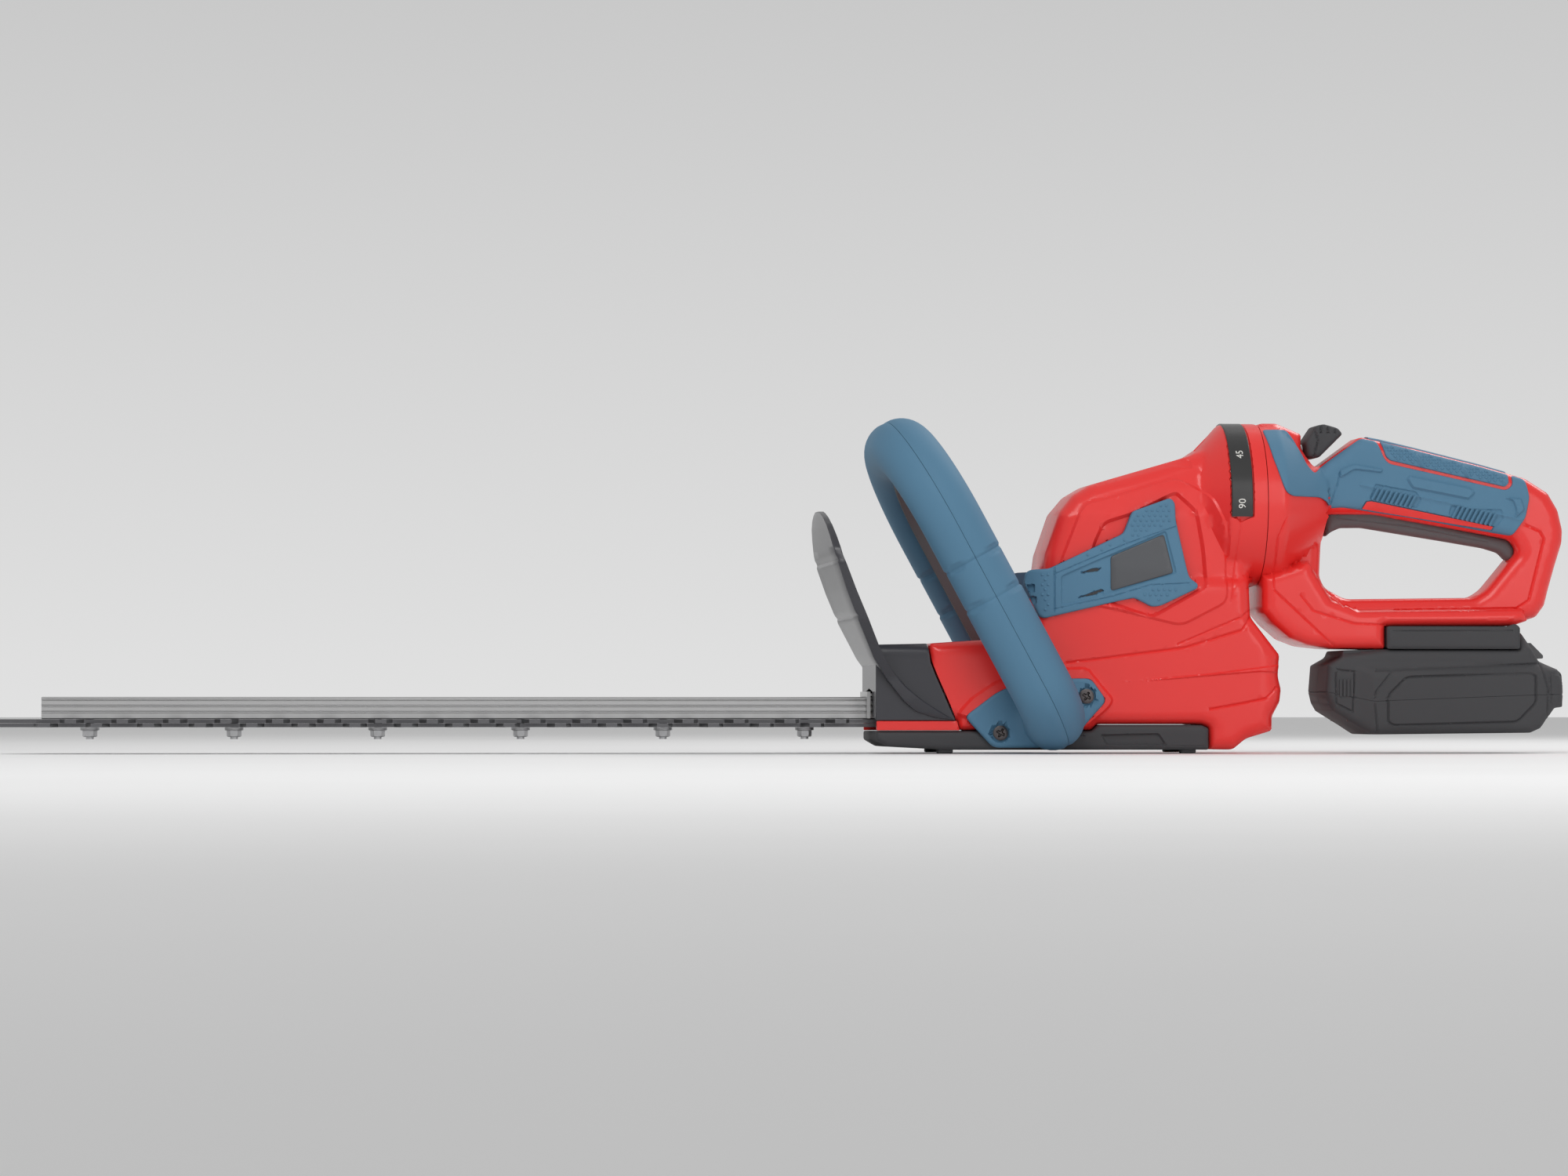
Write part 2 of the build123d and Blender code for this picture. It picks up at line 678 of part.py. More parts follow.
# ---- front handle --------------------------------------------------------------------------
loop_plane = Plane(origin=(nose_x + loop_foot_back, 0, loop_foot_high), x_dir=(0, 1, 0),
                   z_dir=(cos(radians(loop_lean)), 0, sin(radians(loop_lean))))
flange_side = [(56, 23), (76, 38), (96, 47), (136, 47), (146, 33), (128, 13), (116, 2.5), (74, 2.5)]
flange_screws = [(133.2, 35.7), (78.7, 12.6)]
flange_in = body_half_width + gap
flange_out = flange_in + flange_thick


def loop_path():
    w, top = loop_half_span, loop_length
    return FilletPolyline((-flange_in, 0), (-w, 0), (-w, top), (w, top), (w, 0), (flange_in, 0),
                          radius=[loop_elbow, loop_corner, loop_corner, loop_elbow])


def loop_tube(radius):
    section = Plane(origin=(-flange_in, 0, 0), x_dir=(0, 1, 0), z_dir=(-1, 0, 0)) * Circle(radius)
    return sweep(section, path=loop_path())


def bar_shape(half_wide, inner, outer_drop):
    """U shaped strip along the inside of the loop: legs and top, inner face towards the opening."""
    w, top, r = loop_half_span, loop_length, loop_corner
    inside, outside = w - inner, w - inner + outer_drop
    top_in, top_out = top - inner, top - inner + outer_drop
    low = 62.0
    corner = max(r - inner, 1.0)
    shape = extrude(make_face(Polyline((-outside, low), (outside, low), (outside, top_out),
                                       (-outside, top_out), close=True)), half_wide, both=True)
    hole = make_face(Polyline((-inside, low - 1), (inside, low - 1), (inside, top_in),
                              (-inside, top_in), close=True))
    hole = fillet(hole.vertices().sort_by(Axis.Y)[-2:], corner)
    shape = fillet(shape.edges().filter_by(Axis.Z).sort_by(Axis.Y)[-2:], corner + outer_drop)
    return shape - extrude(hole, half_wide + 1, both=True)


def front_switch_bar():
    return loop_plane * (bar_shape(10.0, 20.2, 4.0))


def front_handle():
    outer = loop_tube(loop_radius)
    hollow = loop_tube(loop_radius - loop_wall)
    side = prism(behind_nose(flange_side), flange_in, flange_out, 2.0)
    pads = side + mirror_y(side)
    whole = loop_plane * outer
    whole = whole + pads
    whole -= loop_plane * hollow
    channel = bar_shape(10.4, 23.0, 7.5 + bar_travel)
    whole -= loop_plane * channel
    for s, z in flange_screws:
        whole -= rod_y(nose_x + s, -100, 100, z, 2.3)
        for side_sign in (-1, 1):
            y0 = side_sign * (flange_out - 2.0)
            y1 = side_sign * (flange_out + 20)
            whole -= rod_y(nose_x + s, min(y0, y1), max(y0, y1), z, 5.2)
    far = 600
    cutter = loop_plane * (Pos(0, loop_length / 2, far / 2 + gap / 2) * Box(far, far, far))
    other = loop_plane * (Pos(0, loop_length / 2, -far / 2 - gap / 2) * Box(far, far, far))
    foot_top = loop_foot_high + 35
    pads_only = block(-999, 999, -flange_out, flange_out, -50, foot_top)
    rear = (whole & cutter) - pads_only + (whole & pads_only)
    front = (whole & other) - block(-999, 999, -flange_out - gap, flange_out + gap, -50, foot_top)
    return keep_largest(front), keep_largest(rear)


def handle_screws():
    group = []
    for s, z in flange_screws:
        for side in (-1, 1):
            group.append(screw(nose_x + s, side * (flange_out - 2.0), side * (body_half_width - 3.6),
                               z, 2.0, 4.8, 2.6, side))
    return Compound(children=group)


# ---- rear handle ---------------------------------------------------------------------------
handle_side = [(0.2, 209), (10, 209), (28, 204), (28, 191), (34, 183), (39, 183), (66, 201.5),
               (101, 194), (144, 183.4), (173, 175.4), (188, 168.5), (196, 158.5), (199.5, 145),
               (198, 134), (194, 120), (191, 104), (187, 92), (181, 85), (170, 80.5), (79, 80.5),
               (79, 65.8), (37, 67), (19, 72), (7, 82), (0.2, 89)]
hand_hole = [(44, 152), (40.5, 128), (39.5, 117), (43, 107), (56, 98), (143, 98), (150, 106),
             (158, 117.5), (161, 127), (168, 133), (146, 139.5), (121, 144), (97, 148), (75, 152)]
base_side = [(0.2, 110), (0.2, 89), (7, 82), (19, 72), (37, 67), (79, 65.8), (79, 80.5),
             (170, 80.5), (178, 84), (172, 92), (60, 92), (38, 104), (30, 120)]
trigger_side = [(46, 156), (46, 131), (48.5, 137), (51, 142), (69, 143), (99, 138.6), (124, 135),
                (148, 131), (158, 127.5), (163, 122), (167, 124), (166, 131), (160, 141),
                (140, 146.5), (97, 153.5), (76, 157.5)]
trigger_pivot = (52.0, 158.5)
pocket_side = [(44, 150), (44, 166), (84, 166), (168, 151), (170, 140), (170, 121), (160, 117),
               (150, 128), (60, 135)]
lock_side = [(30.5, 198), (38, 208.8), (43, 209.6), (52, 207), (55, 203.5), (39.5, 188), (32, 188)]
lock_half_width = 15.0
lock_pin_radius = 2.8


def collar_rear(inset):
    x0, xm, x1 = seam_x + run / 2, seam_x + 12, seam_x + 44
    r = swivel_radius - inset
    shift = inset
    body = rod_x(x0 + shift, xm, 0, swivel_height, r)
    return body + cone_x(xm - 0.01, x1, swivel_height, r, 24 - inset)


def handle_blank(inset, y1):
    """Near side of the rear handle, drawn in by inset, up to y1."""
    hole = prism(behind_seam(hand_hole), -99, 99, 3, -inset)
    grip = prism(behind_seam(handle_side), -grip_half_width + inset, y1, 1.0, inset)
    base = prism(behind_seam(base_side), -base_half_width + 3 + inset, y1, 1.0, inset)
    notch = prism(behind_seam([(28, 215), (28, 191), (34, 183), (39, 183), (66, 201.5), (85, 215)]),
                  -99, 99, 1.0, -inset)
    round_end = collar_rear(inset) & block(seam_x - 5, seam_x + 60, -60, y1, 0, 300)
    return grip + base + round_end - hole - notch


def handle_posts():
    return [(seam_x + h, z) for h, z in ((20, 112), (178, 152), (178, 104), (84, 176), (30, 82))]


def rear_handle():
    near = handle_blank(0, -gap / 2) - handle_blank(wall, 1)
    near -= rod_x(seam_x - 5, seam_x + wall + 2, 0, swivel_height, hub_radius + gap)
    near -= rod_x(seam_x - 5, seam_x + 40, 0, swivel_height + lock_pin_ring, lock_pin_radius + run)
    near -= prism(behind_seam(pocket_side), -trigger_half_width - 0.6, trigger_half_width + 0.6)
    near -= block(seam_x + 84, seam_x + 162, -14, 14, 70, 84)
    near = keep_largest(near)
    far = mirror_y(near)
    reach = grip_half_width - 1
    for x, z in handle_posts():
        near += rod_y(x, -reach, -gap / 2, z, 3.6) - rod_y(x, -reach + 4, 0, z, 1.5)
        far += rod_y(x, gap / 2, reach, z, 3.6)
        far -= rod_y(x, 0, 60, z, 1.5)
        far -= rod_y(x, reach - 3, 60, z, 3.2)
    return keep_largest(near), keep_largest(far)


def handle_case_screws():
    return Compound(children=[screw(x, grip_half_width - 4, -8, z, 1.3, 2.9, 2.0, 1)
                              for x, z in handle_posts()])


grip_side = [(6, 215), (28, 215), (28, 191), (34, 180), (40, 180), (66, 199), (172, 172),
             (166, 156), (150, 143), (121, 147.5), (96, 152), (72, 157), (56, 168), (42, 163), (8, 163)]
grip_thick = 1.6


def grips():
    """Soft skins over the collar's rear and the grip's two sides."""
    grown = prism(behind_seam(handle_side), -grip_half_width - grip_thick, grip_half_width + grip_thick)
    grown += rod_x(seam_x + 12, seam_x + 13, 0, swivel_height, swivel_radius)
    x0, x1 = seam_x + 14, seam_x + 44
    grown += cone_x(x0, x1, swivel_height, swivel_radius - 1.8 + grip_thick, 24 + grip_thick)
    core = prism(behind_seam(handle_side), -grip_half_width - 0.1, grip_half_width + 0.1)
    core += rod_x(seam_x, seam_x + 12, 0, swivel_height, swivel_radius + 0.1)
    core += cone_x(seam_x + 11.99, seam_x + 44.05, swivel_height, swivel_radius + 0.1, 24.1)
    skin = (grown - core) & prism(behind_seam(grip_side), -60, 60)
    skin -= prism(behind_seam([(28, 215), (28, 190), (33, 182.5), (40, 182.5), (68, 203), (85, 215)]),
                  -99, 99)
    near = keep_largest(skin & block(-999, 999, -90, -4, 0, 300))
    far = keep_largest(skin & block(-999, 999, 4, 90, 0, 300))
    return near, far


def top_pad():
    line = [(72, 200.2), (101, 194), (144, 183.4), (172, 175.8), (172, 177.4), (144, 185), (101, 195.6),
            (72, 201.8)]
    return Pos(0, 0, 0.15) * prism(behind_seam(line), -11, 11)


def swivel_hub():
    front = nose_x + bulkhead_back
    hub = rod_x(front - 4.3, seam_x + 12, 0, swivel_height, hub_radius)
    hub += rod_x(front - 4.3, front - run, 0, swivel_height, hub_radius + 10)
    hub += rod_x(seam_x + wall + 0.4, seam_x + wall + 3.4, 0, swivel_height, hub_radius + 10)
    return hub - rod_x(front - 10, seam_x + 20, 0, swivel_height, hub_radius - 3)


def trigger():
    body = prism(behind_seam(trigger_side), -trigger_half_width, trigger_half_width, 0.8)
    boss = rod_y(seam_x + trigger_pivot[0], -trigger_half_width, trigger_half_width, trigger_pivot[1], 4.5)
    body = body + boss
    return body - rod_y(seam_x + trigger_pivot[0], -20, 20, trigger_pivot[1], 2.05)


def trigger_pin():
    reach = grip_half_width - wall - 0.1
    return rod_y(seam_x + trigger_pivot[0], -reach, reach, trigger_pivot[1], 2.0)


def main_switch():
    x = seam_x + 112
    body = block(x - 14, x + 14, -7, 7, 164.5, 178)
    return body + block(x - 9, x - 3, -3, 3, 161.8, 164.5)


def trigger_spring():
    """Coil over the switch, drawn as the cylinder it fills."""
    x = seam_x + 90
    return post(x, 0, 160.5, 172, 3.2) - post(x, 0, 160, 173, 2.4)


def lock_slider():
    body = prism(behind_seam(lock_side), -lock_half_width, lock_half_width, 1.0)
    for n in range(3):
        x = seam_x + 42 + 4.5 * n
        body -= Pos(x, 0, 211.2 - 1.1 * n) * Rot(90, 0, 0) * Cylinder(1.6, 2 * lock_half_width + 2)
    return body


def lock_pin():
    z = swivel_height + lock_pin_ring
    nose = detent_x + 8 + detent_thick + run
    return rod_x(nose, seam_x + 31.0, 0, z, lock_pin_radius) - prism(behind_seam(lock_side), -20, 20)


receiver_side = [(79.4, 66), (165, 66), (165, 80.2), (79.4, 80.2)]


def battery_receiver():
    body = prism(behind_seam(receiver_side), -base_half_width, base_half_width, 1.5)
    body -= block(seam_x + 84, seam_x + 180, -21.5, 21.5, 60, 76.4)
    body -= block(seam_x + 84, seam_x + 180, -25.5, 25.5, 70.4, 76.4)
    return body


def contact_blades():
    return Compound(children=[block(seam_x + 84.05, seam_x + 99, y - 0.5, y + 0.5, 68.5, 74.5)
                              for y in (-14, -6, 6, 14)])


# ---- battery -------------------------------------------------------------------------------
pack_side = [(41, 42), (44, 27), (51, 17), (68, 11.5), (177, 12.5), (181, 18), (186, 27), (193, 32),
             (192, 42), (190, 52), (186, 57), (176, 67), (169, 76.8), (166, 76.8), (166, 65.5),
             (56.5, 65.5), (51, 62), (48, 57), (41.5, 52)]
seam_height = 34.0
tongue = (88.0, 165.9, 20.8, 24.8)
latch_side = [(171.5, 60), (171.5, 70), (176.5, 70), (184.5, 62), (184.5, 60)]


pack_screw_places = [(seam_x + h, y) for h in (57, 170) for y in (-27, 27)]
screw_seat = 22.0


def pack_blank(inset):
    half = pack_half_width - inset
    side = prism(behind_seam(pack_side), -half, half, 1.0, inset)
    end = [(-half, 20), (-half + 6, 8), (half - 6, 8), (half, 20), (half, 58), (half - 7, 69), (half - 7, 90),
           (-half + 7, 90), (-half + 7, 69), (-half, 58)]
    return side & along(end, seam_x + 30, seam_x + handle_length + 5)


def battery_case():
    shell = pack_blank(0) - pack_blank(wall)
    x0, x1 = seam_x + tongue[0], seam_x + tongue[1]
    shell += block(x0, x1, -tongue[2], tongue[2], 65.0, 76.0)
    shell += block(x0, x1, -tongue[3], tongue[3], 70.8, 76.0)
    for y in (-14, -6, 6, 14):
        shell -= block(x0 - 1, x0 + 14, y - 1.0, y + 1.0, 67.5, 77)
    pocket = prism(behind_seam([(165, 58), (165, 72), (178.5, 72), (190, 60), (190, 58)]), -13.4, 13.4)
    shell -= pocket
    shell -= block(seam_x + 35, seam_x + 46, -15, 15, 28, 52)
    low_half = block(seam_x, seam_x + 300, -99, 99, -9, seam_height - gap / 2)
    lower = keep_largest(shell & low_half)
    upper = keep_largest(shell & block(seam_x, seam_x + 300, -99, 99, seam_height + gap / 2, 99))
    inside = pack_blank(1)
    for x, y in pack_screw_places:
        lower += post(x, y, pack_low, seam_height - gap / 2, 4.0) & inside
        lower -= post(x, y, 0, screw_seat, 3.0) + post(x, y, 0, 40, 1.6)
        upper += post(x, y, seam_height + gap / 2, 54, 3.6) & inside
        upper -= post(x, y, 0, 48, 1.45)
    return keep_largest(lower), keep_largest(upper)


def cells():
    x0 = seam_x + 72
    return Compound(children=[rod_y(x0 + n * 2.1 * cell_radius, -cell_long / 2, cell_long / 2, z, cell_radius)
                              for n in range(5) for z in (pack_low + wall + 10.5, pack_low + wall + 30.0)])


def cell_strips():
    group = []
    x0 = seam_x + 72
    for side in (-1, 1):
        y0, y1 = side * (cell_long / 2 + 0.05), side * (cell_long / 2 + 0.35)
        for n in range(5):
            x = x0 + n * 2.1 * cell_radius
            group.append(block(x - 4, x + 4, min(y0, y1), max(y0, y1), 20, 50))
    return Compound(children=group)


def battery_board():
    return block(seam_x + 62, seam_x + 158, -26, 26, 58.5, 60.1)


def battery_latch():
    return prism(behind_seam(latch_side), -12.8, 12.8, 0.8)


def gauge_panel():
    x0 = seam_x + 44
    body = block(x0, x0 + 1.6, -14.5, 14.5, 28.5, 51.5)
    return body - rod_x(x0 - 1, x0 + 3, -9.0, 40, 4.0)


def gauge_button():
    x0 = seam_x + 42.6
    return rod_x(x0, x0 + 5, -9.0, 40, 3.7)


def battery_screws():
    return Compound(children=[post(x, y, screw_seat, 46, 1.4) + post(x, y, screw_seat - 2, screw_seat, 2.8)
                              for x, y in pack_screw_places])


front, rear = front_handle()
save("front_handle_front", front)
save("front_handle_rear", rear)
save("front_switch_bar", front_switch_bar())
save("support_rail", rail())
save("lower_blade", blade(blade_low, 0))
save("upper_blade", blade(upper_low, tooth_pitch / 2))
save("blade_bolts", bolts())
save("blade_washers", washers())
save("blade_nuts", nuts())
save("crank_gear", crank_gear())
save("pinion", gear_body(pinion_teeth, motor_x, 15.0, gear_low, gear_high, motor_shaft_radius))
save("crank_shaft", crank_shaft())
save("eccentrics", eccentrics())
save("gearbox_plate_upper", gearbox_upper())
save("gearbox_plate_lower", gearbox_lower())
save("gearbox_screws", gearbox_screws())
save("crank_bushes", bushes())
save("motor_can", motor_can())
save("motor_end_cap", motor_end_cap())
save("carbon_brushes", carbon_brushes())
save("armature", armature())
save("motor_shaft", motor_shaft())
save("commutator", commutator())
save("cooling_fan", cooling_fan())
near, far = housing()
save("housing_left", near)
save("housing_right", far)
save("bottom_cover", bottom_cover())
save("hand_guard", hand_guard())
save("nose_bracket", nose_bracket())
a, b = side_trims()
save("side_trim_left", a)
save("side_trim_right", b)
save("nameplates", nameplates())
save("handle_screws", handle_screws())
save("housing_screws", housing_screws())
save("scale_ring", scale_ring())
save("detent_ring", detent_ring())
near, far = rear_handle()
save("rear_handle_left", near)
save("rear_handle_right", far)
near, far = grips()
save("grip_left", near)
save("grip_right", far)
save("top_pad", top_pad())
save("swivel_hub", swivel_hub())
save("trigger", trigger())
save("trigger_pin", trigger_pin())
save("trigger_spring", trigger_spring())
save("main_switch", main_switch())
save("lock_slider", lock_slider())
save("lock_pin", lock_pin())
save("battery_receiver", battery_receiver())
save("contact_blades", contact_blades())
save("handle_case_screws", handle_case_screws())
lower, upper = battery_case()
save("battery_case_lower", lower)
save("battery_case_upper", upper)
save("cells", cells())
save("cell_strips", cell_strips())
save("battery_board", battery_board())
save("battery_latch", battery_latch())
save("gauge_panel", gauge_panel())
save("gauge_button", gauge_button())
save("battery_screws", battery_screws())
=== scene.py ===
import json
from math import cos, pi, radians, sin

import bmesh
import bpy
import numpy as np
from mathutils import Matrix, Vector, geometry


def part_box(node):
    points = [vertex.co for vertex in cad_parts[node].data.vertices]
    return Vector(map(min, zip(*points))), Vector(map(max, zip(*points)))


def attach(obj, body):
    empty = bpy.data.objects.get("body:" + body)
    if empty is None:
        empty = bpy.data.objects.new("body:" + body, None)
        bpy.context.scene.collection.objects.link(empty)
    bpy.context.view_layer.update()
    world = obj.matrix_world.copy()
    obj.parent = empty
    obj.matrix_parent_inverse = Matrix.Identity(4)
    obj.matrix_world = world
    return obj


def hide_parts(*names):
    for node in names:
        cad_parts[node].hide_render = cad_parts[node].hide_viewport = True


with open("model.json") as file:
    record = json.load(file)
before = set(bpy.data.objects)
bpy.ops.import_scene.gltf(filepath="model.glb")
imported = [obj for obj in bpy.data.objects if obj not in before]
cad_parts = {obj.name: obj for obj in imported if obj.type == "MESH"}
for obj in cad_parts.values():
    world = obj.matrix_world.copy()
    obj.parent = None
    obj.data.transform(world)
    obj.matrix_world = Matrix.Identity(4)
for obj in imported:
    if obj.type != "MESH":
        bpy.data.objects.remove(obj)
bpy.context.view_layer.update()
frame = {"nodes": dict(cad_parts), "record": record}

bl_info = {
    "name": "Cordless Hedge Trimmer",
    "version": (1, 0, 0),
    "blender": (4, 5, 0),
    "location": "View3D > Sidebar > Trimmer",
    "description": "Moulded skins, soft grips, blades and fasteners for a cordless hedge trimmer",
    "category": "Add Mesh",
}

MM = 0.001
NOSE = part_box("bottom_cover")[0].x / MM
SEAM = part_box("scale_ring")[1].x / MM + 9.5
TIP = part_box("upper_blade")[0].x / MM
SWIVEL_Z = 158.0
SWIVEL_R = 52.0


# ---- outlines and distances (millimetres, x and z seen from the user's left) ------------------
def smooth_corners(points, radius, steps=5):
    """The closed outline with each corner swapped for a short curve."""
    p = np.array(points, float)
    out = []
    for i in range(len(p)):
        before, here, after = p[i - 1], p[i], p[(i + 1) % len(p)]
        a, b = before - here, after - here
        la, lb = np.linalg.norm(a), np.linalg.norm(b)
        cut = min(radius, 0.45 * la, 0.45 * lb)
        start, end = here + a / la * cut, here + b / lb * cut
        for t in np.linspace(0, 1, steps):
            out.append((1 - t) ** 2 * start + 2 * t * (1 - t) * here + t * t * end)
    return np.array(out)


def dense(line, step, closed=True):
    line = np.asarray(line, float)
    ends = np.vstack([line, line[:1]]) if closed else line
    out = []
    for a, b in zip(ends[:-1], ends[1:]):
        n = max(1, int(np.linalg.norm(b - a) / step))
        out += [a + (b - a) * k / n for k in range(n)]
    if not closed:
        out.append(ends[-1])
    return np.array(out)


def line_distance(p, line, closed=False):
    line = np.asarray(line, float)
    ends = np.vstack([line, line[:1]]) if closed else line
    best = np.full(len(p), 1e9)
    for a, b in zip(ends[:-1], ends[1:]):
        ab = b - a
        t = np.clip(((p - a) @ ab) / max(ab @ ab, 1e-12), 0, 1)
        best = np.minimum(best, np.linalg.norm(p - a - t[:, None] * ab, axis=1))
    return best


def inside(p, loop):
    x, z = p[:, 0], p[:, 1]
    hit = np.zeros(len(p), bool)
    for a, b in zip(loop, np.roll(loop, -1, axis=0)):
        span = (a[1] > z) != (b[1] > z)
        with np.errstate(divide="ignore", invalid="ignore"):
            cross = (b[0] - a[0]) * (z - a[1]) / (b[1] - a[1]) + a[0]
        hit ^= span & (x < cross)
    return hit


def depth_in(p, loops):
    """Distance inside the first loop and outside the others, negative elsewhere."""
    depth = np.full(len(p), 1e9)
    for n, loop in enumerate(loops):
        d = line_distance(p, loop, True)
        within = inside(p, loop)
        depth = np.minimum(depth, np.where(within == (n == 0), d, -d))
    return depth


def edge_drop(depth, radius):
    """How far a surface falls back where its edge is rounded to a radius."""
    t = np.clip(radius - depth, 0, radius)
    return radius - np.sqrt(radius * radius - t * t)


def flat(height):
    """A level surface, as a function of the points."""
    return lambda co: np.full(len(co), float(height))


def rounded(height, loop, radius):
    """A level surface whose edge along the loop is rounded to a radius."""
    return lambda co: height - edge_drop(depth_in(co, [loop]), radius)


class Groove:
    """A sunk line of a width and depth. A negative depth makes it a raised bead."""

    def __init__(self, line, width, depth, closed=False):
        self.line, self.width, self.depth, self.closed = np.array(line, float), width, depth, closed

    def change(self, p):
        t = np.clip(1 - line_distance(p, self.line, self.closed) * 2 / self.width, 0, 1)
        return -self.depth * t * t * (3 - 2 * t)

    def points(self):
        run = dense(self.line, 1.6, self.closed)
        side = np.gradient(run, axis=0)[:, ::-1] * (1, -1)
        side /= np.maximum(np.linalg.norm(side, axis=1), 1e-9)[:, None]
        return np.vstack([run + side * self.width / 2 * k for k in (-1, -0.5, 0, 0.5, 1)])


class Panel:
    """A raised area with a bevelled border. A negative height sinks it."""

    def __init__(self, loop, height, bevel=1.2, radius=2.0):
        self.loop = smooth_corners(loop, radius, 4) if radius else np.array(loop, float)
        self.height, self.bevel = height, bevel

    def change(self, p):
        return self.height * np.clip(depth_in(p, [self.loop]) / self.bevel, 0, 1)

    def points(self):
        run = dense(self.loop, 1.6)
        side = np.gradient(run, axis=0)[:, ::-1] * (1, -1)
        side /= np.maximum(np.linalg.norm(side, axis=1), 1e-9)[:, None]
        return np.vstack([run + side * self.bevel * k for k in (-1, 0, 1)])


class Guides:
    """Points that the mesh passes through, with no relief of their own."""

    def __init__(self, places):
        self.places = np.array(places)

    def change(self, p):
        return np.zeros(len(p))

    def points(self):
        return self.places


def fill(loops, spacing, extra=(), rows=()):
    """Triangles that fill a region: points (x, z) and faces, turned to look towards -Y."""
    loops = [dense(loop, spacing * 0.8) for loop in loops]
    low, high = loops[0].min(0), loops[0].max(0)
    inner = []
    for row in rows:
        for loop in loops:
            side = (np.roll(loop, -1, 0) - np.roll(loop, 1, 0))[:, ::-1] * (1, -1)
            side /= np.maximum(np.linalg.norm(side, axis=1), 1e-9)[:, None]
            for sign in (-1, 1):
                near = loop + side * sign * row
                inner.append(near[depth_in(near, loops) > 0.93 * row])
    reach = max(rows) if len(rows) else 0
    if len(extra):
        inner.append(extra[depth_in(extra, loops) > 0.35])
    xs, zs = (np.arange(low[i] + spacing / 2, high[i], spacing) for i in (0, 1))
    grid = np.array([(x + spacing / 2 * (k % 2), z) for k, z in enumerate(zs) for x in xs]).reshape(-1, 2)
    grid = grid[depth_in(grid, loops) > max(spacing * 0.5, reach + spacing * 0.3)]
    free = np.vstack(inner + [grid]) if inner else grid
    free = free[np.unique(np.round(free / 0.35).astype(int), axis=0, return_index=True)[1]]
    border, edges = [], []
    for loop in loops:
        first = len(border)
        border += list(loop)
        edges += [(first + i, first + (i + 1) % len(loop)) for i in range(len(loop))]
    points = [Vector(p) for p in border] + [Vector(p) for p in free]
    found = geometry.delaunay_2d_cdt(points, edges, [], 0, 1e-5)
    co, tri = np.array([tuple(v) for v in found[0]]), np.array(found[2])
    tri = tri[depth_in(co[tri].mean(1), loops) > 0]
    a, b, c = co[tri[:, 0]], co[tri[:, 1]], co[tri[:, 2]]
    area = (b[:, 0] - a[:, 0]) * (c[:, 1] - a[:, 1]) - (b[:, 1] - a[:, 1]) * (c[:, 0] - a[:, 0])
    tri[area < 0] = tri[area < 0][:, ::-1]
    return co, tri[np.abs(area) > 1e-7]


def border_edges(tri):
    seen = {}
    for t in tri:
        for a, b in ((t[0], t[1]), (t[1], t[2]), (t[2], t[0])):
            if (b, a) in seen:
                del seen[(b, a)]
            else:
                seen[(a, b)] = 1
    return list(seen)


class Shape:
    """Vertices in millimetres and faces, gathered from several surfaces."""

    def __init__(self):
        self.verts, self.faces = [], []

    def add(self, verts, faces):
        first = len(self.verts)
        self.verts += [tuple(v) for v in verts]
        self.faces += [tuple(int(i) + first for i in f) for f in faces]
        return self

    def join(self, other):
        return self.add(other.verts, other.faces)

    def moved(self, matrix):
        flip = matrix.determinant() < 0
        verts = [tuple(matrix @ Vector(v)) for v in self.verts]
        return Shape().add(verts, [f[::-1] for f in self.faces] if flip else self.faces)

    def mirrored(self):
        return self.moved(Matrix.Diagonal((1, -1, 1, 1)))


def sheet(co, y):
    return np.column_stack([co[:, 0], y, co[:, 1]])


def plate(loops, front, back, spacing=3.0, features=(), rows=()):
    """A closed relief on the -Y side: front and back are functions of (x, z) that give how far out."""
    extra = np.vstack([f.points() for f in features]) if features else ()
    co, tri = fill(loops, spacing, extra, rows)
    out = front(co) + sum((f.change(co) for f in features), np.zeros(len(co)))
    n = len(co)
    verts = np.vstack([sheet(co, -out), sheet(co, -back(co))])
    faces = [tuple(t) for t in tri] + [tuple(t[::-1] + n) for t in tri]
    faces += [(b, a, a + n, b + n) for a, b in border_edges(tri)]
    return Shape().add(verts, faces)


def without_pinches(tri):
    """Drops triangles until no corner joins two separate stretches of the border."""
    while True:
        ends = np.bincount(np.array(border_edges(tri)).ravel())
        pinched = np.flatnonzero(ends > 2)
        if not len(pinched):
            return tri
        tri = tri[~np.isin(tri, pinched).any(1)]


